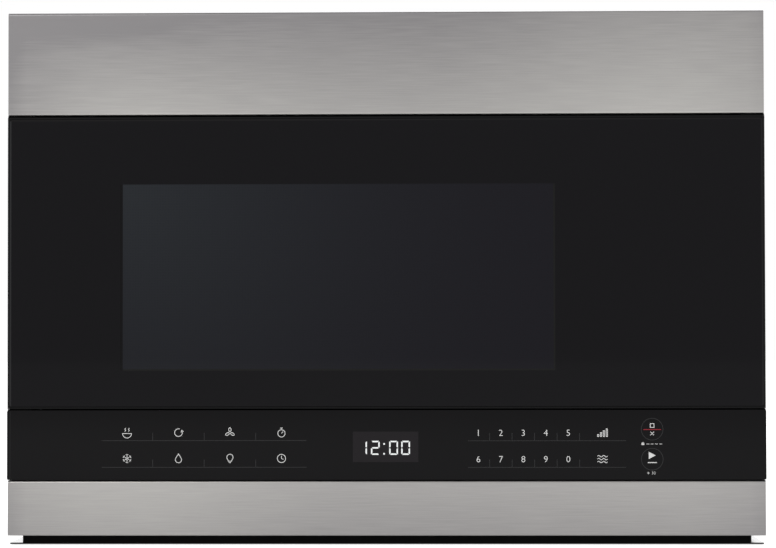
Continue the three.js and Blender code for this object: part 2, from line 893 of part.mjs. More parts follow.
// D-shaped motor spindle, up through the cavity floor.
function motorSpindle() {
  const rootDepth = 7.5;
  const shaft = rod('z', spindleRadius, -sheet - rootDepth, couplerTop - couplerRoof, 0, 0, 16);
  const flat = block(spindleFlat, 2 * spindleRadius, -spindleRadius, spindleRadius, flatStart, couplerTop);
  return cut(shaft, flat);
}

// Three-armed driver that the tray sits over.
function driveCoupler() {
  const hubRadius = 9;
  const hubBottom = 2.5;
  const armReach = 20;
  const armWidth = 8;
  const armHeight = 6;
  const arm = block(0, armReach, -armWidth / 2, armWidth / 2, couplerTop - armHeight, couplerTop);
  let driver = rod('z', hubRadius, hubBottom, couplerTop, 0, 0, 16);
  for (const angle of fullTurn(3)) {
    driver = join(driver, turnedAboutZ(arm, angle));
  }
  const far = 2 * spindleRadius;
  const bore = cut(
    rod('z', spindleRadius + seat, 0, couplerTop - couplerRoof + seat, 0, 0, 16),
    block(spindleFlat + seat, far, -far, far, flatStart, couplerTop),
  );
  return cut(driver, bore);
}

// Glass tray with a dished rim and three drive lugs underneath.
function glassTray() {
  const top = trayBase + trayThickness;
  const rimTop = trayBase + trayRimHeight;
  const lip = trayThickness / 2;
  const profile = [
    [0, trayBase],
    [trayRadius - trayBend, trayBase],
    [trayRadius - 0.45 * trayBend, trayBase + 0.18 * trayRimHeight],
    [trayRadius - 0.1 * trayBend, trayBase + 0.57 * trayRimHeight],
    [trayRadius, rimTop - lip],
    [trayRadius - lip, rimTop],
    [trayRadius - 2 * lip, rimTop - lip / 2],
    [trayRadius - 0.4 * trayBend, trayBase + 0.64 * trayRimHeight],
    [trayRadius - 0.68 * trayBend, trayBase + 0.4 * trayRimHeight],
    [trayRadius - 1.05 * trayBend, top],
    [0, top],
  ];
  let tray = turned(profile, 36);
  const lug = rod('z', lugRadius, trayBase - lugDrop, trayBase + 1, lugOrbit, 0, 10);
  for (const angle of fullTurn(3, Math.PI / 3)) {
    tray = join(tray, turnedAboutZ(lug, angle));
  }
  return tray;
}

const rollerZ = rollerRadius + seat;
const rollerAngles = fullTurn(3, Math.PI / 2);
const ringOuter = rollerOrbit - rollerWidth / 2 - 1;

// Support ring with a stub axle and an end cap for each roller.
function rollerRing() {
  const z0 = rollerZ - ringHeight / 2;
  const capStep = 1.2;
  const capThickness = 1.5;
  const axleRoot = 3; // inside the ring
  const axleEnd = rollerOrbit + rollerWidth / 2 + seat;
  let ring = cut(
    rod('z', ringOuter, z0, z0 + ringHeight, 0, 0, 24),
    rod('z', ringOuter - ringWidth, z0 - 1, z0 + ringHeight + 1, 0, 0, 24),
  );
  for (const angle of rollerAngles) {
    const axle = rod('x', axleRadius, ringOuter - axleRoot, axleEnd + 1, 0, rollerZ, 8);
    const cap = rod('x', axleRadius + capStep, axleEnd, axleEnd + capThickness, 0, rollerZ, 8);
    ring = join(ring, turnedAboutZ(join(axle, cap), angle));
  }
  return ring;
}

// One roller, drawn with its bore along Z.
function roller() {
  const half = rollerWidth / 2;
  const bore = axleRadius + seat;
  const chamfer = 1;
  const profile = [
    [bore, -half],
    [rollerRadius - chamfer, -half],
    [rollerRadius, chamfer - half],
    [rollerRadius, half - chamfer],
    [rollerRadius - chamfer, half],
    [bore, half],
    [bore, -half],
  ];
  return turned(profile, 12);
}

// ---- Door, drawn about the hinge axis with z = 0 at the door's lower edge ----

const doorLeft = -hingeInset;
const doorRight = unitWidth - hingeInset;
const doorFace = -hingeDepth;
const doorBack = doorDepth - hingeDepth;
const frameFront = doorFace + seat;
const frameBack = doorBack - coverThickness - seat;
const openLeft = doorLeft + frameLeft;
const openRight = doorRight - frameRight;
const windowX = cavityCentreX - hingeX;
const windowZ = windowSill + windowHeight / 2;
const latchX = doorRight - pawlInset;
const pawlBack = doorBack - coverThickness - seat;
const pawlFront = pawlBack - pawlDepth;

function doorGlass() {
  const outline = roundedRect(
    doorLeft + doorRim,
    doorRight - doorRim,
    doorRim,
    doorHeight - doorRim,
    glassCorner,
  );
  return prismY(outline, doorFace, doorFace + glassThickness, 3);
}

// Moulded frame: holds the glass, the choke panel, the latch and the hinge bores.
function doorFrame() {
  const corner = frameCorner;
  const nose = glassCorner;
  const plan = new THREE.Shape();
  plan.moveTo(doorLeft + nose, frameFront);
  plan.lineTo(doorRight - nose, frameFront);
  plan.absarc(doorRight - nose, frameFront + nose, nose, -Math.PI / 2, 0);
  plan.lineTo(doorRight, frameBack);
  plan.lineTo(doorLeft + corner, frameBack);
  plan.absarc(doorLeft + corner, frameBack - corner, corner, Math.PI / 2, Math.PI);
  plan.lineTo(doorLeft, frameFront + nose);
  plan.absarc(doorLeft + nose, frameFront + nose, nose, Math.PI, 1.5 * Math.PI);
  const rim = doorRim - seat;
  const glassPocket = roundedRect(doorLeft + rim, doorRight - rim, rim, doorHeight - rim, glassCorner);
  const gripFront = doorFace + glassThickness + gripWall;
  const gripBack = gripFront + gripHeight;
  return cut(
    prismZ(plan, 0, doorHeight, 3),
    prismY(glassPocket, doorFace - 1, doorFace + glassThickness + seat, 3),
    block(openLeft, openRight, doorFace, doorBack, frameBand, doorHeight - frameBand),
    block(doorRight - gripDepth, doorRight + 1, gripFront, gripBack, gripMargin, doorHeight - gripMargin),
    pawlRoom(),
    rod('z', hingePinRadius + seat, -1, hingePinLength + 1, 0, 0, 18),
    rod('z', hingePinRadius + seat, doorHeight - hingePinLength - 1, doorHeight + 1, 0, 0, 18),
  );
}

// Space in the frame where the latch pawl slides and its spring sits.
function pawlRoom() {
  const half = pawlWidth / 2 + seat;
  const springBottom = pawlMargin - springLength - 2 * seat;
  return block(
    latchX - half,
    latchX + half,
    pawlFront - seat,
    doorBack,
    springBottom,
    doorHeight - pawlMargin + latchTravel + seat,
  );
}

// Steel panel: a folded choke channel all round and a raised field behind the window.
function doorPanel() {
  const [x0, x1] = [openLeft + seat, openRight - seat];
  const [z0, z1] = [frameBand + seat, doorHeight - frameBand - seat];
  const rear = doorBack - coverThickness - seat;
  const floor = rear - chokeDepth;
  const field = chokeWidth + sheet;
  const channel = cut(
    block(x0 + sheet, x1 - sheet, floor + sheet, doorBack, z0 + sheet, z1 - sheet),
    block(x0 + field, x1 - field, floor, doorBack, z0 + field, z1 - field),
  );
  const inner = field + sheet;
  return cut(
    block(x0, x1, floor, rear, z0, z1),
    channel,
    block(x0 + inner, x1 - inner, floor - 1, rear - sheet, z0 + inner, z1 - inner),
  );
}

// Clear pane over the window on the oven side.
function innerWindow() {
  const y0 = doorBack - coverThickness;
  return prismY(windowOutline(paneLap - seat, paneCorner), y0, y0 + paneThickness, 3);
}

// Outline of the window, grown by a lap on every side.
function windowOutline(lap, corner) {
  const [w, h] = [windowWidth / 2 + lap, windowHeight / 2 + lap];
  return roundedRect(windowX - w, windowX + w, windowZ - h, windowZ + h, corner);
}

// Back cover of the door over the choke, with the window opening and the hook slots.
function chokeCover() {
  const y0 = doorBack - coverThickness;
  const margin = 3;
  const outline = roundedRect(
    doorLeft + frameCorner,
    doorRight - margin,
    margin,
    doorHeight - margin,
    frameCorner,
  );
  const hole = windowOutline(0, frameCorner);
  const pane = windowOutline(paneLap, paneCorner);
  let cover = cut(
    prismY(outline, y0, doorBack, 3),
    prismY(pane, y0 - 1, y0 + paneThickness + seat, 3),
    prismY(hole, y0 - 1, doorBack + 1, 3),
  );
  const half = pawlWidth / 2 + hookRoom;
  for (const z of [lowHook, highHook]) {
    const slotTop = z + hookHeight + latchTravel + hookRoom;
    cover = cut(cover, block(latchX - half, latchX + half, y0 - 1, doorBack + 1, z - hookRoom, slotTop));
  }
  return cover;
}

// One sliding piece with an upper and a lower hook.
function latchPawl() {
  const half = pawlWidth / 2;
  const tip = doorBack + hookReach;
  const noseFront = tip - hookLength;
  const root = pawlBack - pawlDepth / 4;
  const rodTop = doorHeight - pawlMargin;
  let pawl = block(latchX - half, latchX + half, pawlFront, pawlBack - seat, pawlMargin, rodTop);
  for (const z of [lowHook, highHook]) {
    const hook = polygon([
      [root, z],
      [noseFront, z],
      [noseFront, z - hookNose],
      [noseFront + hookLength / 3, z - hookNose],
      [tip, z],
      [tip, z + hookHeight * 0.75],
      [tip - hookLength / 2, z + hookHeight],
      [root, z + hookHeight],
    ]);
    pawl = join(pawl, prismX(hook, latchX - half, latchX + half));
  }
  return pawl;
}

class Helix extends THREE.Curve {
  getPoint(t) {
    const angle = t * springTurns * 2 * Math.PI;
    const rise = springLength - 2 * springWire;
    return new THREE.Vector3(
      springRadius * Math.cos(angle),
      springRadius * Math.sin(angle),
      springWire + t * rise,
    );
  }
}

// Spring that pulls the pawl down, drawn upwards from its own foot.
function latchSpring() {
  const section = new THREE.Shape();
  section.absarc(0, 0, springWire, 0, 2 * Math.PI);
  const geometry = new THREE.ExtrudeGeometry(section, {
    extrudePath: new Helix(),
    steps: springTurns * 6,
    curveSegments: 3,
    bevelEnabled: false,
  });
  return solidOf(geometry);
}

// ---- Hinge brackets and latch body ----

// Bracket on the front plate with an arm and a pin; up is 1 for the pin pointing up.
function hingeBracket(up) {
  const legHeight = 30;
  const legHalf = 12;
  const yBack = plateFront - seat;
  const armLeft = hingeX - hingeArmHalf;
  const armRight = hingeX + hingeArmHalf;
  const armFace = up > 0 ? controlTop - seat : topStripBottom + seat;
  const armFar = armFace - up * hingeArm;
  const arm = new THREE.Shape();
  arm.moveTo(armLeft, yBack);
  arm.lineTo(armLeft, hingeY);
  arm.absarc(hingeX, hingeY, hingeArmHalf, Math.PI, 2 * Math.PI);
  arm.lineTo(armRight, yBack);
  const [low, high] = [armFace, armFar].sort((a, b) => a - b);
  const legEnd = armFace - up * legHeight;
  const [legLow, legHigh] = [armFace, legEnd].sort((a, b) => a - b);
  const legLeft = Math.max(hingeX - legHalf, -bayHalf);
  const leg = block(legLeft, hingeX + legHalf, yBack - hingeArm, yBack, legLow, legHigh);
  const pinEnd = armFace + up * (doorSeam + seat + hingePinLength);
  const [pinLow, pinHigh] = [armFar, pinEnd].sort((a, b) => a - b);
  return join(
    prismZ(arm, low, high, 8),
    leg,
    rod('z', hingePinRadius, pinLow, pinHigh, hingeX, hingeY, 18),
  );
}

// Moulded catch behind the front plate with a channel and a ledge for each hook.
function latchBody() {
  const wall = 4.5;
  const bodyBelow = 24; // body below the lower hook and above the upper one
  const bodyAbove = 30;
  const ledgeGap = 0.5; // hooks over the ledges
  const ledgeDepth = 5;
  const waistRoom = 36;
  const waistWall = 6;
  const channel = pawlWidth / 2 + 1.5 * hookRoom;
  const half = channel + wall;
  const y0 = plateBack + seat;
  const y1 = plateBack + latchDepth;
  const z0 = doorBottom + lowHook - bodyBelow;
  const z1 = doorBottom + highHook + bodyAbove;
  const noseFront = hingeY + doorBack + hookReach - hookLength;
  const channelBack = noseFront + hookLength + 2;
  let body = block(pawlX - half, pawlX + half, y0, y1, z0, z1);
  for (const hook of [lowHook, highHook]) {
    const z = doorBottom + hook;
    const ledge = z - hookNose - ledgeGap;
    const channelTop = z + hookHeight + latchTravel + hookRoom;
    const [left, right] = [pawlX - channel, pawlX + channel];
    body = cut(
      body,
      block(left, right, y0 - 1, channelBack, ledge, channelTop),
      block(left, right, noseFront - hookRoom, channelBack, ledge - ledgeDepth, z),
    );
  }
  for (const plunger of plungerLevels()) {
    body = cut(body, rod('y', plungerRadius + seat, channelBack - 1, y1 + 1, pawlX, plunger, 8));
  }
  const middle = (z0 + z1) / 2;
  const waist = (highHook - lowHook) / 2 - waistRoom;
  const [left, right] = [pawlX - half - 1, pawlX + half + 1];
  return cut(body, block(left, right, y0 + waistWall, y1 + 1, middle - waist, middle + waist));
}

const switchPitch = switchThickness + seat;

// Two switches are stacked behind the upper hook and one stands behind the lower.
function plungerLevels() {
  const upper = doorBottom + highHook + hookHeight / 4;
  const lower = doorBottom + lowHook + hookHeight / 4;
  return [upper + switchPitch / 2, lower, upper - switchPitch / 2];
}

// Snap switch with its plunger towards the hook and two blades at the back.
function snapSwitch(level) {
  const bodyDepth = 16;
  const bodyWidth = 28;
  const plungerInset = 8; // plunger from the body's right end
  const bladeWidth = 4.8;
  const bladeLength = 8;
  const bladeThickness = 0.8;
  const bladePitch = 10;
  const bladeInset = 11;
  const screwRadius = 1.5;
  const screwInset = 3.2;
  const y0 = plateBack + latchDepth + seat;
  const y1 = y0 + bodyDepth;
  const tip = hingeY + doorBack + hookReach + seat;
  const x0 = pawlX - bodyWidth + plungerInset;
  const middle = x0 + bodyWidth / 2;
  let snap = join(
    centredBlock(middle, y0 + bodyDepth / 2, level, bodyWidth, bodyDepth, switchThickness),
    rod('y', plungerRadius, tip, y0 + 2, pawlX, level, 8),
  );
  for (const x of spread(2, bladePitch, x0 + bladeInset)) {
    const bladeY = y1 + bladeLength / 2 - 1;
    snap = join(snap, centredBlock(x, bladeY, level, bladeWidth, bladeLength, bladeThickness));
  }
  const [low, high] = [level - switchThickness, level + switchThickness];
  for (const x of spread(2, bodyWidth - 2 * screwInset, middle)) {
    snap = cut(snap, rod('z', screwRadius, low, high, x, y1 - screwInset - 1, 8));
  }
  return snap;
}

// ---- Control panel ----

const fasciaFront = front + controlGlass;
const fasciaBack = caseFront - seat;
const boardFront = fasciaFront + fasciaWall + boardStandoff;
const displayZ = controlBottom + displayRise;

function controlGlassPlate() {
  const outline = roundedRect(-halfWidth, halfWidth, controlBottom, controlTop, panelCorner);
  return prismY(outline, front, fasciaFront, 3);
}

// Moulded panel behind the glass: open at the back, with posts for the board.
function controlFascia() {
  const inner = halfWidth - fasciaWall;
  const [z0, z1] = [controlBottom + fasciaWall, controlTop - fasciaWall];
  let panel = cut(
    block(-halfWidth, halfWidth, fasciaFront, fasciaBack, controlBottom, controlTop),
    block(-inner, inner, fasciaFront + fasciaWall, back, z0, z1),
    centredBlock(displayCentre, fasciaFront, displayZ, displayWidth, 3 * fasciaWall, displayHeight),
  );
  panel = join(panel, shelf(controlTop - fasciaWall, controlTop));
  for (const [x, z] of boardPosts()) {
    panel = join(panel, rod('y', postRadius, fasciaFront + 1, boardFront - seat, x, z, 12));
  }
  return panel;
}

function boardPosts() {
  return [boardLeft + postInset, boardRight - postInset].flatMap((x) => [
    [x, displayZ - postRise],
    [x, displayZ + postRise],
  ]);
}

// Lit display with its case, set in the panel's opening.
function displayModule() {
  const [w, h] = [displayWidth / 2 - seat, displayHeight / 2 - seat];
  const flange = 4;
  const rear = boardFront - seat;
  const z = displayZ;
  const x = displayCentre;
  return join(
    block(x - w, x + w, fasciaFront + seat, rear, z - h, z + h),
    block(
      x - w - flange,
      x + w + flange,
      fasciaFront + fasciaWall + seat,
      rear,
      z - h - flange,
      z + h + flange,
    ),
  );
}

// Circuit board with its relays, low-voltage transformer and connectors.
function controlBoard() {
  const boardHeight = 46;
  const coreWidth = 42; // low-voltage transformer near the left end
  const coreHeight = 34;
  const coreDepth = 22;
  const coreInset = 12;
  const relayWidth = 18; // three relays near the right end
  const relayHeight = 23;
  const relayDepth = 15;
  const relayPitch = 24;
  const relayInset = 60;
  const canRadius = 5; // two smoothing capacitors
  const canDepth = 14;
  const canPitch = 14;
  const canX = 30;
  const plugWidth = 40;
  const plugHeight = 7;
  const plugDepth = 8;
  const plugX = 80;
  const rise = 8; // parts above the board's middle
  const face = boardFront + boardThickness / 2; // the parts start inside the board
  const y = boardFront + boardThickness;
  const z = displayZ;
  const onBoard = (x, middleZ, width, depth, height) =>
    block(x - width / 2, x + width / 2, face, y + depth, middleZ - height / 2, middleZ + height / 2);
  let board = join(
    block(boardLeft, boardRight, boardFront, y, z - boardHeight / 2, z + boardHeight / 2),
    onBoard(boardLeft + coreInset + coreWidth / 2, z, coreWidth, coreDepth, coreHeight),
    onBoard(plugX, z + 1.4 * rise, plugWidth, plugDepth, plugHeight),
  );
  for (const x of spread(3, relayPitch, boardRight - relayInset)) {
    board = join(board, onBoard(x, z, relayWidth, relayDepth, relayHeight));
  }
  for (const x of spread(2, canPitch, canX)) {
    board = join(board, rod('y', canRadius, face, y + canDepth, x, z + rise, 10));
  }
  return board;
}

// ---- Underside ----

function greaseFilter(x) {
  const [w, l] = [filterWidth / 2, filterLength / 2];
  const z0 = sheet + seat;
  const rim = 7;
  const meshDrop = 2;
  const pleat = 20;
  const z1 = z0 + filterThickness;
  const [left, right] = [x - w + rim, x + w - rim];
  const [near, far] = [filterY - l + rim, filterY + l - rim];
  let filter = cut(
    block(x - w, x + w, filterY - l, filterY + l, z0, z1),
    block(left, right, near, far, z0 - 1, z0 + meshDrop),
    block(left, right, near, far, z1 - meshDrop, z1 + 1),
  );
  const count = Math.floor((filterLength - 2 * rim) / pleat);
  for (const y of spread(count, pleat, filterY)) {
    for (const z of [z0 + meshDrop, z1 - meshDrop]) {
      filter = cut(filter, centredBlock(x, y, z, filterWidth - 4 * rim, pleat / 3, meshDrop));
    }
  }
  return filter;
}

function cooktopLens() {
  const z = sheet + seat;
  const middle = z + lensThickness / 2;
  const [width, length] = [lampWidth - 2 * seat, lampLength - 2 * seat];
  const [flangeWidth, flangeLength] = [lampWidth + 2 * lensLap, lampLength + 2 * lensLap];
  return join(
    centredBlock(cavityCentreX, lampY, (seat + middle) / 2, width, length, middle - seat),
    centredBlock(cavityCentreX, lampY, middle, flangeWidth, flangeLength, lensThickness),
  );
}

// Lamp tray with a row of emitters over the lens.
function cooktopLamp() {
  const [w, l] = [lampWidth / 2, lampLength / 2];
  const z0 = sheet + seat + lensThickness + seat;
  const z1 = z0 + lampTrayHeight;
  const roof = z1 - 2 * sheet;
  const profile = polygon([
    [lampY - l - lensLap, z0],
    [lampY + l + lensLap, z0],
    [lampY + l + lensLap - lampTraySlope, z1],
    [lampY - l - lensLap + lampTraySlope, z1],
  ]);
  const hollow = polygon([
    [lampY - l, z0 - 1],
    [lampY + l, z0 - 1],
    [lampY + l - lampTraySlope, roof],
    [lampY - l + lampTraySlope, roof],
  ]);
  let tray = cut(
    prismX(profile, cavityCentreX - w - lensLap, cavityCentreX + w + lensLap),
    prismX(hollow, cavityCentreX - w, cavityCentreX + w),
  );
  for (const x of spread(4, emitterPitch, cavityCentreX)) {
    tray = join(tray, rod('z', emitterRadius, roof + sheet - emitterLength, roof + sheet, x, lampY, 12));
  }
  return tray;
}

// ---- Blower, drawn about its shaft ----

const scrollInner = blowerMotorLength / 2 + blowerGap;
const scrollOuter = scrollInner + scrollWidth;
const scrollEnd = scrollStart + scrollGrowth;
const scrollTurn = THREE.MathUtils.degToRad(scrollSweep);
const scrollTongue = scrollTurn - Math.PI;
const blowerDrop = scrollRadiusAt(scrollTongue + Math.PI / 2);
const blowerZ = collarBottom - seat - outletRise();
const blowerY = exhaustY + (scrollEnd - scrollStart * Math.cos(scrollTongue)) / 2;

function outletRise() {
  return scrollStart;
}

// Radius of the scroll after it has turned by an angle from its tongue.
function scrollRadiusAt(angle) {
  return scrollStart + (scrollGrowth * angle) / scrollTurn;
}

// Scroll outline in (y, z): a growing spiral round the wheel, then straight up to the outlet.
function scrollShape(inset, rise) {
  const steps = 16;
  const points = [];
  for (let i = 0; i <= steps; i += 1) {
    const turn = (i / steps) * scrollTurn;
    const angle = scrollTongue - turn;
    const radius = scrollRadiusAt(turn) - inset;
    points.push([radius * Math.cos(angle), radius * Math.sin(angle)]);
  }
  points.push([inset - scrollEnd, rise]);
  points.push([points[0][0], rise]);
  return polygon(points);
}

function blowerHousing(side) {
  const [x0, x1] = [side * scrollInner, side * scrollOuter].sort((a, b) => a - b);
  const inletStep = 8;
  const bearingRoom = 5;
  const inletRadius = wheelRadius - inletStep;
  const shell = prismX(scrollShape(0, outletRise()), x0, x1);
  const inside = prismX(scrollShape(scrollWall, outletRise() + 1), x0 + scrollWall, x1 - scrollWall);
  const middle = (x0 + x1) / 2;
  const inlet = [middle, side * (scrollOuter + 1)].sort((a, b) => a - b);
  const shaftHole = [middle, side * (scrollInner - 1)].sort((a, b) => a - b);
  return cut(
    shell,
    inside,
    rod('x', inletRadius, ...inlet, 0, 0, 24),
    rod('x', blowerShaftRadius + bearingRoom, ...shaftHole, 0, 0, 12),
  );
}

// Cage of forward-curved blades between a back disc on the motor's side and an outer ring.
function blowerWheel(side) {
  const start = side * (scrollInner + (scrollWidth - wheelWidth) / 2);
  const reach = (from, to) => [start + side * from, start + side * to].sort((a, b) => a - b);
  const bladeDepth = 8;
  const discThickness = 2;
  const hubWall = 4;
  const hubLength = 22;
  const ringStep = 1.5;
  const bladeInset = 2;
  const innerRadius = wheelRadius - bladeDepth;
  const ringReach = reach(wheelWidth - 2 * discThickness, wheelWidth + 1);
  const ring = cut(
    rod('x', wheelRadius, ...reach(wheelWidth - discThickness, wheelWidth), 0, 0, wheelBlades),
    rod('x', innerRadius + ringStep, ...ringReach, 0, 0, wheelBlades),
  );
  let wheel = join(
    rod('x', wheelRadius, ...reach(0, discThickness), 0, 0, wheelBlades),
    rod('x', blowerShaftRadius + hubWall, ...reach(0, hubLength), 0, 0, 12),
    ring,
  );
  const blade = prismX(bladeShape(innerRadius, wheelRadius - bladeInset), ...reach(1, wheelWidth - 1), 2);
  for (const angle of fullTurn(wheelBlades)) {
    wheel = join(wheel, turnedAboutX(blade, angle));
  }
  return cut(wheel, rod('x', blowerShaftRadius + seat, ...reach(-1, wheelWidth), 0, 0, 12));
}

// Section of one blade in (y, z): an arc of even thickness from the inner to the outer radius.
function bladeShape(inner, outer) {
  const thickness = 0.9;
  const depth = outer - inner;
  const shape = new THREE.Shape();
  shape.moveTo(inner, 0);
  shape.quadraticCurveTo(inner + depth * 0.55, 0, outer, depth * 0.45);
  shape.lineTo(outer, depth * 0.45 + thickness);
  shape.quadraticCurveTo(inner + depth * 0.5, thickness, inner, thickness);
  return shape;
}

function blowerMotor() {
  const half = blowerMotorLength / 2;
  const nose = 4;
  const noseRadius = 10;
  const slotMargin = 11;
  const slotDepth = 4;
  const slotWidth = 8;
  let motor = join(
    rod('x', blowerMotorRadius, nose - half, half - nose, 0, 0, 20),
    rod('x', noseRadius, -half, half, 0, 0, 12),
  );
  const slotLength = blowerMotorLength - 2 * slotMargin;
  const slot = centredBlock(0, blowerMotorRadius, 0, slotLength, slotDepth, slotWidth);
  for (const angle of fullTurn(6)) {
    motor = cut(motor, turnedAboutX(slot, angle));
  }
  return cut(motor, rod('x', blowerShaftRadius + seat, -half - 1, half + 1, 0, 0, 12));
}

function blowerShaft() {
  const hubReach = 24;
  const end = scrollInner + (scrollWidth - wheelWidth) / 2 + hubReach;
  return rod('x', blowerShaftRadius, -end, end, 0, 0, 12);
}

// Folded bracket from the back plate under both scrolls, with a saddle for the motor.
function blowerBracket() {
  const overhang = 4;
  const saddleInset = 8;
  const saddleReach = 22;
  const saddleTop = -12;
  const flangeTop = -34;
  const top = -blowerDrop - seat;
  const half = scrollOuter + overhang;
  const wallY = caseBack - seat - blowerY;
  const saddleHalf = blowerMotorLength / 2 - saddleInset;
  const saddle = cut(
    block(-saddleHalf, saddleHalf, -saddleReach, saddleReach, top - sheet, saddleTop),
    rod('x', blowerMotorRadius + seat, -half, half, 0, 0, 24),
  );
  const flange = block(-half, half, wallY - sheet, wallY, top - sheet, flangeTop);
  return join(block(-half, half, -scrollEnd, wallY, top - sheet, top), flange, saddle);
}

// ---- Exhaust collar and its flap ----

const collarHalfWidth = exhaustWidth / 2 - seat;
const collarHalfDepth = exhaustDepth / 2 - seat;
const flapPivotY = collarHalfDepth - collarWall - flapPinRadius - flapAngleRoom;
const flapZ = unitHeight - flapDrop;

function exhaustCollar() {
  const flange = 6;
  const flangeTop = unitHeight - sheet - seat;
  const top = unitHeight - seat;
  let collar = join(
    block(-collarHalfWidth, collarHalfWidth, -collarHalfDepth, collarHalfDepth, collarBottom, top),
    block(
      -collarHalfWidth - flange,
      collarHalfWidth + flange,
      -collarHalfDepth - flange,
      collarHalfDepth + flange,
      flangeTop - sheet,
      flangeTop,
    ),
  );
  const [w, d] = [collarHalfWidth - collarWall, collarHalfDepth - collarWall];
  collar = cut(collar, block(-w, w, -d, d, collarBottom - 1, top + 1));
  const stop = 3;
  const stopTop = flapZ - flapThickness / 2 - seat;
  collar = join(collar, block(-w, w, -d, stop - d, stopTop - 2, stopTop));
  return cut(
    collar,
    rod('x', flapPinRadius + seat, -collarHalfWidth - 1, collarHalfWidth + 1, flapPivotY, flapZ, 16),
  );
}

// Back-draught flap, drawn about its pins; it lies shut and swings up.
function damperFlap() {
  const w = collarHalfWidth - collarWall - flapAngleRoom;
  const reach = flapPivotY + collarHalfDepth - collarWall - flapAngleRoom;
  return join(
    block(-w, w, -reach, 0, -flapThickness / 2, flapThickness / 2),
    rod('x', flapPinRadius, -collarHalfWidth, collarHalfWidth, 0, 0, 10),
    block(-w, w, -reach, 2 - reach, -flapThickness / 2, flapThickness / 2 + 1.5),
  );
}

// ---- Machine bay ----

const guideX0 = cavityRight + sheet + seat;
const guideX1 = guideX0 + guideDepth;
const guideTop = cavityTop - guideDrop;
const magnetronZ = guideTop - magnetronDrop;

// Waveguide from the magnetron to the port in the cavity wall.
function waveguide() {
  const [y0, y1] = [portMiddle - guideLength / 2, portMiddle + guideLength / 2];
  const bottom = guideTop - guideHeight;
  const lap = 6; // flange that is welded to the cavity, on three sides
  const room = 3; // round the antenna
  return cut(
    block(guideX0, guideX1, y0, y1, bottom, guideTop),
    block(guideX0 - 1, guideX1 - sheet, y0 + lap, y1 - lap, bottom + lap, guideTop - lap),
    block(guideX0 + sheet, guideX1 + 1, y0 - 1, y0 + lap - sheet, bottom - 1, guideTop + 1),
    block(guideX0 + sheet, guideX1 + 1, y1 - lap + sheet, y1 + 1, bottom - 1, guideTop + 1),
    block(guideX0 + sheet, guideX1 + 1, y0 - 1, y1 + 1, bottom - 1, bottom + lap - sheet),
    rod('x', antennaRadius + room, guideX1 - guideDepth / 2, guideX1 + 1, portMiddle, magnetronZ, 20),
  );
}

// Magnetron drawn from its mounting face: dome, yoke, cooling fins, magnets and filter box.
function magnetron() {
  const yokeDepth = 62;
  const yokeWidth = 84;
  const yokeHeight = 70;
  const finCount = 5;
  const finPitch = 8;
  const finThickness = 0.8;
  const finMargin = 4;
  const frame = 2;
  const anodeRadius = 19;
  const magnetRadius = 27;
  const magnetHeight = 10;
  const antennaLength = 18;
  const capLength = 4;
  const capStep = 3;
  const boxDepth = 28;
  const boxWidth = 48;
  const boxHeight = 40;
  const halfYoke = yokeWidth / 2;
  const far = yokeDepth + frame;
  let tube = join(
    cut(
      block(0, far + frame, -halfYoke, halfYoke, -yokeHeight / 2, yokeHeight / 2),
      block(frame, far, 2 * frame - halfYoke, halfYoke - 2 * frame, -yokeHeight, yokeHeight),
    ),
    rod('x', anodeRadius, 0, far + frame / 2, 0, 0, 8),
    rod('x', magnetRadius, frame / 2, frame + magnetHeight, 0, 0, 12),
    rod('x', magnetRadius, far - magnetHeight, far + frame / 2, 0, 0, 12),
    rod('x', antennaRadius, -antennaLength, frame / 2, 0, 0, 12),
    rod('x', antennaRadius - capStep, -antennaLength - capLength, 1 - antennaLength, 0, 0, 12),
    centredBlock(far + frame / 2 + boxDepth / 2, 0, 0, boxDepth + frame, boxWidth, boxHeight),
  );
  for (const x of spread(finCount, finPitch, frame + yokeDepth / 2)) {
    const [width, height] = [yokeWidth - 3 * frame, yokeHeight - 2 * finMargin];
    tube = join(tube, centredBlock(x, 0, 0, finThickness, width, height));
  }
  const bladeLength = 8;
  for (const y of spread(2, 2 * finPitch)) {
    const bladeZ = (1 - boxHeight - bladeLength) / 2;
    tube = join(tube, centredBlock(far + boxDepth * 0.7, y, bladeZ, 6, 1, bladeLength));
  }
  return tube;
}

// High-voltage transformer standing on the base pan.
function transformer() {
  const coreWidth = 86;
  const coreDepth = 46;
  const coreHeight = 68;
  const foot = 2;
  const footLap = 8;
  const coilInset = 14;
  const coilMargin = 8;
  const coilReach = 15;
  const coilCorner = 12;
  const screwRadius = 2.5;
  const bladePitch = 12;
  const top = foot + coreHeight;
  const coilHalf = coreWidth / 2 - coilInset;
  const coilFar = coreDepth / 2 + coilReach;
  const coil = roundedRect(-coilHalf, coilHalf, foot + coilMargin, top - coilMargin, coilCorner);
  let result = join(
    centredBlock(0, 0, foot / 2, coreWidth + 2 * footLap, coreDepth + footLap, foot),
    centredBlock(0, 0, top / 2, coreWidth, coreDepth, top),
    prismY(coil, -coilFar, coilFar, 4),
  );
  for (const x of spread(2, coreWidth + footLap)) {
    result = cut(result, rod('z', screwRadius, -1, foot + 1, x, 0, 8));
  }
  for (const x of spread(3, bladePitch)) {
    const bladeZ = top - 2 * coilMargin;
    result = join(result, centredBlock(x, -coilFar, bladeZ, bladePitch / 2, coilMargin, 1));
  }
  return result;
}

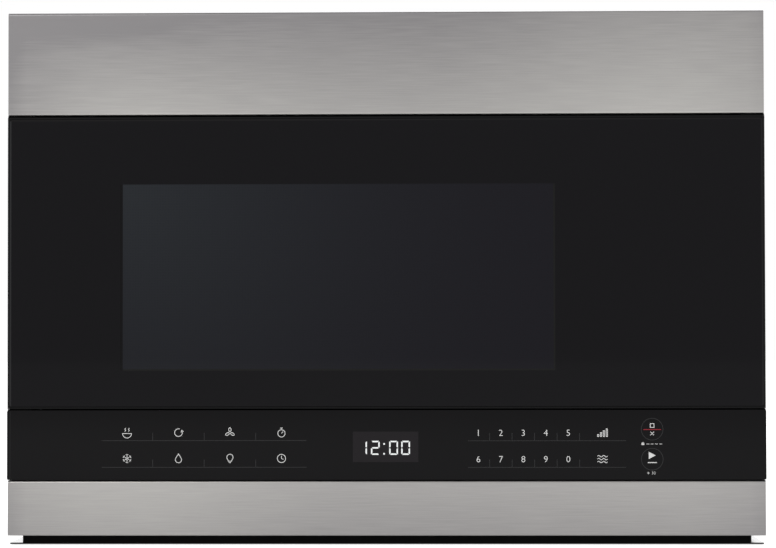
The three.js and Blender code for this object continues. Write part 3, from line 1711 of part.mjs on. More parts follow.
// Oval high-voltage capacitor can with two terminals.
function capacitor() {
  const canHalfWidth = 26;
  const canHalfDepth = 16;
  const canHeight = 88;
  const bossRadius = 5;
  const bossHeight = 4;
  const bladeWidth = 6;
  const bladeLength = 8;
  const can = roundedRect(-canHalfWidth, canHalfWidth, -canHalfDepth, canHalfDepth, canHalfDepth - 0.1);
  const bossTop = canHeight + bossHeight;
  let result = prismZ(can, 0, canHeight, 5);
  for (const x of spread(2, canHalfWidth)) {
    result = join(
      result,
      rod('z', bossRadius, canHeight - 1, bossTop, x, 0, 10),
      centredBlock(x, 0, bossTop + bladeLength / 2 - 1, bladeWidth, 1, bladeLength),
    );
  }
  return result;
}

// Fan baffle across the bay with a round duct and two arms for the motor; the air goes along Y.
function fanShroud() {
  const half = fanFrameHeight / 2;
  const opening = fanRadius + fanTipRoom;
  const footLength = 12;
  const shaftHole = 5;
  const left = cavityRight + sheet + seat - fanX;
  const right = bayHalf - fanX;
  const plate = prismY(roundedRect(left, right, -half, half, 4), 0, fanWall, 2);
  const duct = rod('y', opening + fanWall, 0, fanDepth, 0, 0, 20);
  let shroud = join(
    cut(join(plate, duct), rod('y', opening, -1, fanDepth + 1, 0, 0, 20)),
    centredBlock(0, fanDepth + fanWall / 2, 0, 2 * opening + fanWall, fanWall, fanArmHeight),
  );
  for (const side of [-1, 1]) {
    const footX = side * (opening + fanWall / 2);
    shroud = join(shroud, centredBlock(footX, fanDepth - 4, 0, fanWall, footLength, fanArmHeight));
  }
  return cut(shroud, rod('y', shaftHole, fanDepth - 1, fanDepth + 2 * fanWall, 0, 0, 12));
}

function fanMotor() {
  const coreLeft = -30;
  const coreRight = 22;
  const coreHeight = 52;
  const slotLeft = -24;
  const slotRight = -10;
  const slotHeight = 11;
  const slotOffset = 14.5;
  const coilHeight = 32;
  const bearingRadius = 9;
  const step = 2; // core behind the bearing
  const y0 = fanDepth + fanWall + seat;
  const y1 = y0 + step + fanStack;
  const end = y1 + step + 1;
  const coil = roundedRect(slotLeft - 3, slotRight - 3, y0, y1 + step, 3);
  let motor = block(coreLeft, coreRight, y0 + step, y1, -coreHeight / 2, coreHeight / 2);
  for (const z of [-slotOffset, slotOffset]) {
    motor = cut(motor, block(slotLeft, slotRight, y0, y1 + 1, z - slotHeight / 2, z + slotHeight / 2));
  }
  motor = join(
    motor,
    prismZ(coil, -coilHeight / 2, coilHeight / 2, 3),
    rod('y', bearingRadius, y0, end, 0, 0, 12),
  );
  return cut(motor, rod('y', fanShaftRadius + seat, y0 - 1, end + 1, 0, 0, 12));
}

// Fan with twisted blades on a hub, and its thin shaft.
function fanBlade() {
  const hubRadius = 13;
  const hubLength = 12;
  const bladeWidth = 18;
  const bladeThickness = 1.4;
  const bladeRoot = 3; // inside the hub
  const bladePitch = THREE.MathUtils.degToRad(52);
  const y0 = (fanDepth - hubLength) / 2;
  let fan = rod('y', hubRadius, y0, y0 + hubLength, 0, 0, 12);
  const bladeLength = fanRadius - hubRadius + bladeRoot;
  const flat = centredBlock(0, 0, bladeLength / 2, bladeThickness, bladeWidth, bladeLength);
  const blade = shifted(turnedAboutZ(flat, bladePitch), 0, fanDepth / 2, hubRadius - bladeRoot);
  for (const angle of fullTurn(fanBlades)) {
    fan = join(fan, turnedAboutY(blade, angle));
  }
  const tipTrim = cut(
    rod('y', 2 * fanRadius, y0 - 3, y0 + hubLength + 3, 0, 0, 8),
    rod('y', fanRadius, y0 - 4, y0 + hubLength + 4, 0, 0, 20),
  );
  const shaftEnd = fanDepth + fanWall + fanStack + 4;
  return join(cut(fan, tipTrim), rod('y', fanShaftRadius, y0 + 1, shaftEnd, 0, 0, 12));
}

// Line filter board on the back plate: fuse, choke and two capacitors.
function filterBoard() {
  const width = 100;
  const height = 54;
  const fromSide = 18;
  const fromTop = 30;
  const postLength = 6;
  const postRadius = 3.5;
  const postInset = 8;
  const chokeRadius = 14;
  const chokeHeight = 12;
  const fuseRadius = 3;
  const fuseLength = 26;
  const clipWidth = 4;
  const boxWidth = 16;
  const boxDepth = 20;
  const boxHeight = 28;
  const boxRise = 1;
  const slabDepth = 14;
  const slabHeight = 22;
  const y = caseBack - seat - postLength - boardThickness;
  const face = y + boardThickness / 2; // the pieces on the board start inside it
  const middleX = caseHalf - fromSide - width / 2;
  const middleZ = unitHeight - fromTop - height / 2;
  let board = centredBlock(middleX, face, middleZ, width, boardThickness, height);
  for (const x of spread(2, width - 2 * postInset, middleX)) {
    for (const z of spread(2, height - 2 * postInset, middleZ)) {
      board = join(board, rod('y', postRadius, face, caseBack - seat, x, z, 8));
    }
  }
  const chokeX = middleX - width * 0.22;
  const choke = cut(
    rod('y', chokeRadius, y - chokeHeight, face, chokeX, middleZ, 10),
    rod('y', chokeRadius * 0.4, y - chokeHeight - 1, y - 1, chokeX, middleZ, 8),
  );
  const boxX = middleX + width * 0.08;
  const slabX = middleX + width * 0.26;
  const fuseX = middleX + width * 0.15;
  const fuseZ = middleZ - height * 0.35;
  const fuseEnd = fuseLength / 2;
  board = join(
    board,
    choke,
    centredBlock(boxX, face - boxDepth / 2, middleZ + boxRise, boxWidth, boxDepth, boxHeight),
    centredBlock(slabX, face - slabDepth / 2, middleZ - boxRise, boxWidth / 2, slabDepth, slabHeight),
    rod('x', fuseRadius, fuseX - fuseEnd, fuseX + fuseEnd, y - fuseRadius, fuseZ, 8),
  );
  for (const x of spread(2, fuseLength - clipWidth, fuseX)) {
    const clipY = face - clipWidth / 2;
    board = join(board, centredBlock(x, clipY, fuseZ, clipWidth, clipWidth, 2 * fuseRadius));
  }
  return board;
}

// Round bushing in the hole where the supply lead leaves the top, pushed in from below.
function cordBushing() {
  const neck = cordHoleRadius - seat;
  const flange = neck + bushingLap;
  const under = unitHeight - sheet - seat;
  const profile = [
    [bushingBore, under - bushingDepth],
    [neck, under - bushingDepth],
    [flange, under - bushingDepth / 2],
    [flange, under],
    [neck, under],
    [neck, unitHeight - seat],
    [bushingBore, unitHeight - seat],
    [bushingBore, under - bushingDepth],
  ];
  return turned(profile, 18);
}

// ---- Assembly ----

place(model, 'outer_case', outerCase(), greyPaint());
place(model, 'base_pan', basePan(), blackPaint());
place(model, 'back_plate', backPlate(), zincSteel());
place(model, 'front_plate', frontPlate(), blackPaint());
place(model, 'top_trim', topTrim(), brushedSteel());
place(model, 'lower_trim', lowerTrim(), brushedSteel());
place(model, 'vent_frame', ventFrame(), blackPlastic());
place(model, 'charcoal_filter', charcoalFilter(), carbon());

place(model, 'oven_cavity', ovenCavity(), cavityEnamel());
place(model, 'waveguide_cover', waveguideCover(), mica());
place(model, 'lamp_holder', lampHolder(), zincSteel());
const bulb = groupAt(lampSpotX, lampSocketY + bulbSeat - seat, lampSpotZ);
bulb.rotation.x = Math.PI / 2;
place(bulb, 'cavity_lamp', cavityLamp(), lampGlass());

const turntable = groupAt(cavityCentreX, cavityCentreY, recessFloor);
place(turntable, 'turntable_motor', turntableMotor(), zincSteel());
place(turntable, 'motor_spindle', motorSpindle(), bareSteel());
place(turntable, 'drive_coupler', driveCoupler(), blackPlastic());
place(turntable, 'glass_tray', glassTray(), trayGlass());
place(turntable, 'roller_ring', rollerRing(), whitePlastic());
rollerAngles.forEach((angle, i) => {
  const spot = groupAt(rollerOrbit * Math.cos(angle), rollerOrbit * Math.sin(angle), rollerZ, turntable);
  spot.rotation.set(0, Math.PI / 2, angle, 'ZYX');
  place(spot, `roller_${i + 1}`, roller(), whitePlastic());
});

place(model, 'control_glass', controlGlassPlate(), blackGlass());
place(model, 'control_fascia', controlFascia(), blackPlastic());
place(model, 'display_module', displayModule(), greyPlastic());
place(model, 'control_board', controlBoard(), circuitBoard());

const door = groupAt(hingeX, hingeY, doorBottom);
place(door, 'door_glass', doorGlass(), blackGlass());
place(door, 'door_frame', doorFrame(), blackPlastic());
place(door, 'door_panel', doorPanel(), blackPaint());
place(door, 'inner_window', innerWindow(), clearPane());
place(door, 'choke_cover', chokeCover(), blackPlastic());
place(door, 'latch_pawl', latchPawl(), whitePlastic());
const springFoot = groupAt(latchX, (pawlFront + pawlBack) / 2, pawlMargin - springLength - seat, door);
place(springFoot, 'latch_spring', latchSpring(), bareSteel());

place(model, 'lower_hinge', hingeBracket(1), zincSteel());
place(model, 'upper_hinge', hingeBracket(-1), zincSteel());
place(model, 'latch_body', latchBody(), whitePlastic());
const switchNames = ['primary_switch', 'secondary_switch', 'monitor_switch'];
plungerLevels().forEach((level, i) => place(model, switchNames[i], snapSwitch(level), greyPlastic()));

filterCentres().forEach((x, i) => {
  place(model, `grease_filter_${['left', 'right'][i]}`, greaseFilter(x), aluminium());
});
place(model, 'cooktop_lamp_lens', cooktopLens(), lampGlass());
place(model, 'cooktop_lamp', cooktopLamp(), whitePlastic());

const blower = groupAt(0, blowerY, blowerZ);
place(blower, 'blower_housing_left', blowerHousing(-1), zincSteel());
place(blower, 'blower_housing_right', blowerHousing(1), zincSteel());
place(blower, 'blower_wheel_left', blowerWheel(-1), blackPlastic());
place(blower, 'blower_wheel_right', blowerWheel(1), blackPlastic());
place(blower, 'blower_motor', blowerMotor(), motorSteel());
place(blower, 'blower_shaft', blowerShaft(), bareSteel());
place(blower, 'blower_bracket', blowerBracket(), zincSteel());

const exhaust = groupAt(0, exhaustY, 0);
place(exhaust, 'exhaust_collar', exhaustCollar(), zincSteel());
const flapPivot = groupAt(0, flapPivotY, flapZ, exhaust);
place(flapPivot, 'damper_flap', damperFlap(), aluminium());

place(model, 'waveguide', waveguide(), zincSteel());
place(groupAt(guideX1 + seat, portMiddle, magnetronZ), 'magnetron', magnetron(), motorSteel());
const bayX = bayMiddle + bayOffset;
place(groupAt(bayX, caseBack - transformerFromBack, bayFloor), 'transformer', transformer(), laminations());
place(groupAt(bayX, cavityCentreY + capacitorBehindCentre, bayFloor), 'capacitor', capacitor(), aluminium());
const fan = groupAt(fanX, cavityBack - fanBehindRoom, cavityTop - fanDrop);
place(fan, 'fan_shroud', fanShroud(), blackPlastic());
place(fan, 'fan_motor', fanMotor(), motorSteel());
place(fan, 'fan_blade', fanBlade(), blackPlastic());
place(model, 'filter_board', filterBoard(), circuitBoard());
place(groupAt(cordX, cordY, 0), 'cord_bushing', cordBushing(), blackPlastic());

export default model;
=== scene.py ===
import bpy
import bmesh
import math
from mathutils import Matrix, Vector


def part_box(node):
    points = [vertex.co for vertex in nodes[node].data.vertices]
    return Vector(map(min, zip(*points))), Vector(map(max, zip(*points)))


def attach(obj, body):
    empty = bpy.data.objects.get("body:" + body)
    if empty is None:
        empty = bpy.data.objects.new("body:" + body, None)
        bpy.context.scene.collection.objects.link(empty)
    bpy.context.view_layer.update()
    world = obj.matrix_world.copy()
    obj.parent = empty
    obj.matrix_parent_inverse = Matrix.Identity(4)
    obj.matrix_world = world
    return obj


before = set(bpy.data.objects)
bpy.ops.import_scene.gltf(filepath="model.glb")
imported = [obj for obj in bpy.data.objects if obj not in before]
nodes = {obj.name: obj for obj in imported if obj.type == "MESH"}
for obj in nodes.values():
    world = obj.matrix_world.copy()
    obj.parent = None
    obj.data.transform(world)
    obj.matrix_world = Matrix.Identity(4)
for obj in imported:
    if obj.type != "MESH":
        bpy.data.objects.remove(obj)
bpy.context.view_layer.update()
scene = bpy.context.scene
mm = 0.001
print("frame loaded:", len(nodes), "nodes")


def linear(hexColour):  # sRGB hex to Blender's linear colour
    channels = [int(hexColour[i:i + 2], 16) / 255 for i in (0, 2, 4)]
    return [c / 12.92 if c <= 0.04045 else ((c + 0.055) / 1.055) ** 2.4 for c in channels] + [1]


def addNode(tree, kind, inputs=None, output=0, **settings):
    # a node with its settings, values and links; gives the output asked for, or all of them for None
    node = tree.nodes.new("ShaderNode" + kind)
    for setting, value in settings.items():
        setattr(node, setting, value)
    for socket, value in (inputs or {}).items():
        if isinstance(value, bpy.types.NodeSocket):
            tree.links.new(value, node.inputs[socket])
        else:
            node.inputs[socket].default_value = value
    return node.outputs if output is None else node.outputs[output]


# camera, placed so that the edges fall where the photograph has them

cameraLook = {
    "place": (0.0455, -2.1985, 0.1705),
    "turnDegrees": 1.238,  # to the left
    "pitchDegrees": 1.315,  # upwards
    "rollDegrees": -0.102,
    "lens": 116.0,
    "sensorWidth": 36,
    "clipEnd": 50,
}

cameraData = bpy.data.cameras.new("camera")
cameraData.lens = cameraLook["lens"]
cameraData.sensor_width = cameraLook["sensorWidth"]
cameraData.clip_end = cameraLook["clipEnd"]
camera = bpy.data.objects.new("camera", cameraData)
camera.matrix_world = (
    Matrix.Translation(cameraLook["place"])
    @ Matrix.Rotation(math.radians(cameraLook["turnDegrees"]), 4, "Z")
    @ Matrix.Rotation(math.radians(90 + cameraLook["pitchDegrees"]), 4, "X")
    @ Matrix.Rotation(math.radians(cameraLook["rollDegrees"]), 4, "Z")
)
scene.collection.objects.link(camera)
scene.camera = camera

# studio: white surround, pale floor and soft lamps

studioLook = {
    "fill": 0.72,  # world level that lights the object
    "floorColour": "d9d9d8",
    "floorGlow": 0.68,  # adds up to white where no shadow falls
    "floorSize": 24,
    "floorLevel": -0.0006,
    "lamps": (
        # place, aimed at, width, height, watts
        ((-1.5, -2.2, 1.9), (0, -0.1, 0.2), 1.6, 1.2, 32),
        ((1.9, -1.6, 1.3), (0, 0, 0.2), 1.2, 1.2, 16),
        ((0.6, 2.3, 1.7), (0, 0.1, 0.2), 1.6, 1.0, 18),
    ),
}


def seenDirectly(tree):  # 1 for camera, glossy and transmission rays, 0 for the light on the object
    rays = addNode(tree, "LightPath", output=None)
    seen = rays["Is Camera Ray"]
    for kind in ("Is Glossy Ray", "Is Transmission Ray"):
        seen = addNode(tree, "Math", {0: seen, 1: rays[kind]}, operation="MAXIMUM")
    return seen


world = bpy.data.worlds.new("studio")
world.use_nodes = True
worldTree = world.node_tree
backdrop = worldTree.nodes["Background"]
backdrop.inputs["Color"].default_value = (1, 1, 1, 1)
reach = {"Value": seenDirectly(worldTree), "To Min": studioLook["fill"]}
worldTree.links.new(addNode(worldTree, "MapRange", reach), backdrop.inputs["Strength"])
scene.world = world

for place, target, width, height, watts in studioLook["lamps"]:
    lampData = bpy.data.lights.new("softbox", "AREA")
    lampData.shape = "RECTANGLE"
    lampData.size, lampData.size_y = width, height
    lampData.energy = watts
    lamp = bpy.data.objects.new("softbox", lampData)
    lamp.location = place
    lamp.rotation_euler = (Vector(target) - Vector(place)).to_track_quat("-Z", "Y").to_euler()
    scene.collection.objects.link(lamp)


def startMaterial(name, values):  # a material, its node tree, shader and the object's own coordinates
    material = bpy.data.materials.new(name)
    material.use_nodes = True
    tree = material.node_tree
    shader = tree.nodes["Principled BSDF"]
    for socket, value in values.items():
        shader.inputs[socket].default_value = value
    coords = addNode(tree, "TexCoord", output="Object")
    return material, tree, shader, coords


def meshObject(name, bm, material, smooth=False):
    bmesh.ops.recalc_face_normals(bm, faces=bm.faces)
    mesh = bpy.data.meshes.new(name)
    bm.to_mesh(mesh)
    bm.free()
    for face in mesh.polygons:
        face.use_smooth = smooth
    mesh.materials.append(material)
    thing = bpy.data.objects.new(name, mesh)
    scene.collection.objects.link(thing)
    return thing


floorMaterial, floorTree, floorShader, _ = startMaterial("paperFloor", {
    "Base Color": linear(studioLook["floorColour"]), "Roughness": 0.9, "Specular IOR Level": 0,
    "Emission Color": (1, 1, 1, 1),
})
reach = {"Value": seenDirectly(floorTree), "To Max": studioLook["floorGlow"]}
floorTree.links.new(addNode(floorTree, "MapRange", reach), floorShader.inputs["Emission Strength"])

bm = bmesh.new()
half = studioLook["floorSize"] / 2
corners = ((-half, -half), (half, -half), (half, half), (-half, half))
bm.faces.new([bm.verts.new((x, y, studioLook["floorLevel"])) for x, y in corners])
floor = meshObject("floor", bm, floorMaterial)
print("studio and camera set")

betweenColours = {"data_type": "RGBA", "output": 2}  # for a Mix node; its colours go to sockets 6 and 7


def perUnit(x, y, z):  # the scale at which one unit of a pattern is that many millimetres
    return 1 / (x * mm), 1 / (y * mm), 1 / (z * mm)


def drive(tree, shader, pattern, colours=None, roughness=None, height=0):  # height in millimetres
    if colours:
        shades = {"Factor": pattern, 6: linear(colours[0]), 7: linear(colours[1])}
        colour = addNode(tree, "Mix", shades, **betweenColours)
        tree.links.new(colour, shader.inputs["Base Color"])
    if roughness:
        reach = {"Value": pattern, "To Min": roughness[0], "To Max": roughness[1]}
        tree.links.new(addNode(tree, "MapRange", reach), shader.inputs["Roughness"])
    if height:
        bump = addNode(tree, "Bump", {"Height": pattern, "Distance": height * mm})
        tree.links.new(bump, shader.inputs["Normal"])


def insideBox(tree, coords, low, high, axes="XYZ"):  # 1 between two corners, in millimetres
    parts = addNode(tree, "SeparateXYZ", {0: coords}, None)
    mask = 1.0
    for axis, a, b in zip(axes, low, high):
        middle, reach = (a + b) / 2 * mm, (b - a) / 2 * mm
        within = addNode(tree, "Math", {0: parts[axis], 1: middle, 2: reach}, operation="COMPARE")
        mask = addNode(tree, "Math", {0: mask, 1: within}, operation="MULTIPLY")
    return mask


def rectangle(x, z, width, height):  # its corners seen from the front, and the axes they are on
    return (x - width / 2, z - height / 2), (x + width / 2, z + height / 2), "XZ"


def overlaid(tree, coords, colour, bands):  # rectangles (x, z, width, height, hex) laid over a colour
    for *place, shade in bands:
        mask = insideBox(tree, coords, *rectangle(*place))
        colour = addNode(tree, "Mix", {"Factor": mask, 6: colour, 7: linear(shade)}, **betweenColours)
    return colour


def brushedStainless():  # brushed 430 stainless: long horizontal lines under a broad soft painted sheen, with painted gleams and shade that stand in for the room's reflections
    look = {
        "dark": "828081",
        "light": "aeaca9",
        "grain": (34, 0.8, 0.8),  # grit lines are about 0.1 mm apart; drawn coarser so that they show
        "grainTone": 0.45,
        "roughness": (0.26, 0.42),
        "height": 0.006,
        # each ramp: axis, start and end in mm, level at start and end, course; every ramp but isUpper
        # paints sheen, gleams and shade into the colour
        "ramps": {
            "isUpper": ("Z", 150, 200, 0, 1, "LINEAR"),
            "upperPaintedSheen": ("Z", 427, 344, 0, 0.58, "LINEAR"),
            "lowerPaintedSheen": ("Z", 7, 52, 0.24, 0.5, "LINEAR"),
            "upperPaintedFall": ("Z", 412, 344, 0.15, 1, "LINEAR"),
            "leftGleam": ("X", -20, -220, 0, 0.4, "SMOOTHSTEP"),
            "rightGleam": ("X", 20, 240, 0, 0.34, "SMOOTHSTEP"),
            "rightHeight": ("Z", 50, 340, 0.2, 1, "LINEAR"),
            "leftPaintedFall": ("X", -190, -300, 0, -0.24, "SMOOTHSTEP"),
            "leftPaintedEndShade": ("X", -235, -302, 0, -0.22, "SMOOTHSTEP"),
            "rightPaintedEndShade": ("X", 235, 302, 0, -0.22, "SMOOTHSTEP"),
            "leftPaintedRimShade": ("X", -288, -301, 0, -0.19, "LINEAR"),
            "rightPaintedRimShade": ("X", 290, 303, 0, -0.12, "LINEAR"),
            "leftShade": ("X", -110, -230, 0, -0.27, "SMOOTHSTEP"),
            "topShade": ("Z", 392, 424, 0, 1, "LINEAR"),
            "foldPaintedReflection": ("Z", 426.1, 426.5, 0, 0.72, "LINEAR"),  # painted reflection: the front edge is darkened as if it reflected the dark room
            "foldFront": ("Y", -195.5, -196.5, 0, 1, "LINEAR"),
        },
        # level of the painted light in the lower strip, and the ramp that takes its place in the upper
        # one
        "shares": {
            "sheen": ("lowerPaintedSheen", "upperPaintedSheen"),
            "gleamShare": (0.72, "upperPaintedSheen"),
            "fallShare": (0.2, "upperPaintedFall"),
            "endShare": (0.7, "upperPaintedFall"),
        },
        "sums": ("sheen", "leftPaintedRimShade", "rightPaintedRimShade"),
        "products": (
            ("leftGleam", "gleamShare"), ("rightGleam", "rightHeight"), ("leftPaintedFall", "fallShare"),
            ("leftPaintedEndShade", "endShare"), ("rightPaintedEndShade", "endShare"), ("leftShade", "topShade"),
        ),
    }
    material, tree, shader, coords = startMaterial("brushedStainless", {"Metallic": 1})
    place = addNode(tree, "Mapping", {"Vector": coords, "Scale": perUnit(*look["grain"])})
    grain = addNode(tree, "TexNoise", {"Vector": place, "Scale": 1, "Detail": 3})
    axes = addNode(tree, "SeparateXYZ", {0: coords}, None)
    level = {}
    for name, (axis, start, end, low, high, course) in look["ramps"].items():
        level[name] = addNode(tree, "MapRange", {
            "Value": axes[axis], "From Min": start * mm, "From Max": end * mm,
            "To Min": low, "To Max": high,
        }, interpolation_type=course)
    for name, (low, high) in look["shares"].items():
        strips = {"Factor": level["isUpper"], 2: level.get(low, low), 3: level[high]}
        level[name] = addNode(tree, "Mix", strips)
    spread = look["grainTone"] / 2
    fine = {"Value": grain, "To Min": -spread, "To Max": spread}
    tone = addNode(tree, "MapRange", fine, clamp=False)
    # the painted sheen, gleams and shade are added to the grain's tone here
    terms = [level[name] for name in look["sums"]]
    for one, other in look["products"]:
        terms.append(addNode(tree, "Math", {0: level[one], 1: level[other]}, operation="MULTIPLY"))
    for term in terms:
        tone = addNode(tree, "Math", {0: tone, 1: term}, operation="ADD")
    drive(tree, shader, grain, roughness=look["roughness"], height=look["height"])
    shades = {"Factor": tone, 6: linear(look["dark"]), 7: linear(look["light"])}
    steel = addNode(tree, "Mix", shades, **betweenColours)
    # painted reflection: the top front fold is mixed towards black
    foldPaintedReflection = addNode(tree, "Math", {0: level["foldPaintedReflection"], 1: level["foldFront"]}, operation="MULTIPLY")
    folded = addNode(tree, "Mix", {"Factor": foldPaintedReflection, 6: steel, 7: (0, 0, 0, 1)}, **betweenColours)
    tree.links.new(folded, shader.inputs["Base Color"])
    return material


frontGlass = {"Roughness": 0.03, "IOR": 1.5, "Specular IOR Level": 0.1}
screenHoles = {"pitch": 2.2, "length": 1000}  # in millimetres; drawn straight through the sheet


def doorGlassMaterial():  # tempered glass, back-printed black; its tinted window shows the screen behind, under a painted gleam towards its upper left, and painted highlights line the glass's edges
    look = {
        "window": (-37.3, 214, 346.2, 149.4),
        "print": "0b0a0d",
        "windowPaintedGleam": "23262a",
        "windowDark": "131218",
        "paintedGleamReach": 380,  # the painted gleam fades this far from the window's upper left corner
        "holeEdge": (0.3, 0.42),
        "holeTone": (0.88, 1.04),
        # painted highlights of the ground edge along the glass's sides and top; darker and lighter lines
        # along the window's edges
        "edgeHighlightsAndLines": (
            (-301.0, 225.8, 1.4, 231, "272728"),
            (301.1, 225.8, 1.2, 231, "1a1a1b"),
            (0, 340.3, 602, 1.3, "161516"),
            (-212.0, 214, 1.2, 149, "060607"),
            (135.2, 214, 1.2, 149.4, "161615"),
            (-37.3, 139.9, 346, 1.2, "161615"),
        ),
    }
    material, tree, shader, coords = startMaterial("backPrintedDoorGlass", frontGlass)
    x, z, width, height = look["window"]
    reach = look["paintedGleamReach"]
    # painted gleam: the window's tint lightens towards its upper left corner
    corner = addNode(tree, "Mapping", {
        "Vector": coords,
        "Location": ((width / 2 - x) / reach, 0, (-height / 2 - z) / reach),
        "Scale": (1 / (reach * mm), 0, 1 / (reach * mm)),
    })
    gleam = addNode(tree, "TexGradient", {"Vector": corner}, 1, gradient_type="QUADRATIC_SPHERE")
    shades = {"Factor": gleam, 6: linear(look["windowDark"]), 7: linear(look["windowPaintedGleam"])}
    tint = addNode(tree, "Mix", shades, **betweenColours)
    scale = perUnit(screenHoles["pitch"], screenHoles["length"], screenHoles["pitch"])
    place = addNode(tree, "Mapping", {"Vector": coords, "Scale": scale})
    holes = addNode(tree, "TexVoronoi", {"Vector": place, "Scale": 1, "Randomness": 0})
    (near, far), (low, high) = look["holeEdge"], look["holeTone"]
    edge = {"Value": holes, "From Min": near, "From Max": far, "To Min": low, "To Max": high}
    dots = addNode(tree, "MapRange", edge)
    screened = addNode(
        tree, "Mix", {"Factor": 1.0, 6: tint, 7: dots}, blend_type="MULTIPLY", **betweenColours
    )
    mask = insideBox(tree, coords, *rectangle(*look["window"]))
    shades = {"Factor": mask, 6: linear(look["print"]), 7: screened}
    colour = addNode(tree, "Mix", shades, **betweenColours)
    tree.links.new(overlaid(tree, coords, colour, look["edgeHighlightsAndLines"]), shader.inputs["Base Color"])
    return material


def controlGlassMaterial():  # same glass over the panel, with the smoky display window; its print is darker than the door's, a painted shade that evens out the panel rendering lighter
    look = {
        # painted shade: darker than the door glass's print of the same black
        "print": "040305",
        "areas": (
            (0.1, 78.3, 52.3, 24.3, "1a171a"),
            # painted highlight of the glass's ground edge, a lighter line along the left side; then
            # black lines along both side edges
            (-301.1, 79.8, 1.0, 55, "131314"),
            (-302.6, 79.8, 1.8, 56, "000000"),
            (302.6, 79.8, 1.6, 56, "000000"),
        ),
    }
    material, tree, shader, coords = startMaterial("backPrintedPanelGlass", frontGlass)
    colour = overlaid(tree, coords, linear(look["print"]), look["areas"])
    tree.links.new(colour, shader.inputs["Base Color"])
    return material


def mottledMaterial(name, values, look):  # even finish with a fine random surface
    material, tree, shader, coords = startMaterial(name, values)
    grain = [look["size"] * stretch for stretch in look.get("stretch", (1, 1, 1))]
    place = addNode(tree, "Mapping", {"Vector": coords, "Scale": perUnit(*grain)})
    noise = addNode(tree, "TexNoise", {"Vector": place, "Scale": 1, "Detail": look.get("detail", 2)})
    drive(tree, shader, noise, look["colours"], look["roughness"], look["height"])
    return material


def galvanised():  # hot-dip galvanised sheet: flat crystals, each a little lighter or darker
    look = {"crystal": (9, 9, 9), "colours": ("a1a5a7", "b6babb"), "roughness": (0.36, 0.5)}
    material, tree, shader, coords = startMaterial("galvanisedSheet", {"Metallic": 0.9})
    place = addNode(tree, "Mapping", {"Vector": coords, "Scale": perUnit(*look["crystal"])})
    cells = addNode(tree, "TexVoronoi", {"Vector": place, "Scale": 1}, "Color")
    tone = addNode(tree, "SeparateColor", {0: cells})
    drive(tree, shader, tone, look["colours"], look["roughness"])
    return material


def screenPaint():  # black enamelled door panel; the field behind the window is punched all over
    look = {
        "window": (-38, 214.35, 362, 165),
        "holeEdge": (0.32, 0.38),
        "colours": ("050505", "2a2a2c"),  # hole and paint
        "roughness": (0.9, 0.4),
        "height": 0.15,
    }
    material, tree, shader, coords = startMaterial("punchedBlackPanel", {"Roughness": 0.42})
    scale = perUnit(screenHoles["pitch"], screenHoles["length"], screenHoles["pitch"])
    place = addNode(tree, "Mapping", {"Vector": coords, "Scale": scale})
    holes = addNode(tree, "TexVoronoi", {"Vector": place, "Scale": 1, "Randomness": 0})
    near, far = look["holeEdge"]
    edge = addNode(tree, "MapRange", {"Value": holes, "From Min": near, "From Max": far})
    mask = insideBox(tree, coords, *rectangle(*look["window"]))
    solid = addNode(tree, "Math", {0: 1.0, 1: mask}, operation="SUBTRACT")
    metal = addNode(tree, "Math", {0: edge, 1: solid}, operation="MAXIMUM")
    drive(tree, shader, metal, look["colours"], look["roughness"], look["height"])
    return material


clearLook = {
    "waves": (18, 18, 18),  # faint waves of the surface, in millimetres
    "waveHeight": 0.02,
    "stripesPerUnit": 3.2,  # what the wave texture draws
    "ribLength": 1000,
    "ribHeight": 0.9,
    "brass": "b8a068",
}


def clearGlass(name, tint, roughness, ribs=0, cap=None):  # pressed or float glass that one sees through
    material, tree, shader, coords = startMaterial(
        name, {"Base Color": linear(tint), "IOR": 1.5, "Transmission Weight": 1}
    )
    place = addNode(tree, "Mapping", {"Vector": coords, "Scale": perUnit(*clearLook["waves"])})
    wave = addNode(tree, "TexNoise", {"Vector": place, "Scale": 1})
    drive(tree, shader, wave, roughness=roughness, height=0 if ribs else clearLook["waveHeight"])
    if ribs:  # moulded prisms, that many millimetres apart
        length = clearLook["ribLength"]
        scale = perUnit(ribs * clearLook["stripesPerUnit"], length, length)
        place = addNode(tree, "Mapping", {"Vector": coords, "Scale": scale})
        stripes = addNode(tree, "TexWave", {"Vector": place, "Scale": 1}, 1)
        drive(tree, shader, stripes, height=clearLook["ribHeight"])
    if cap:  # brass lamp cap, between two corners
        mask = insideBox(tree, coords, *cap)
        tree.links.new(mask, shader.inputs["Metallic"])
        shades = {"Factor": mask, 6: linear(tint), 7: linear(clearLook["brass"])}
        tree.links.new(addNode(tree, "Mix", shades, **betweenColours), shader.inputs["Base Color"])
    return material


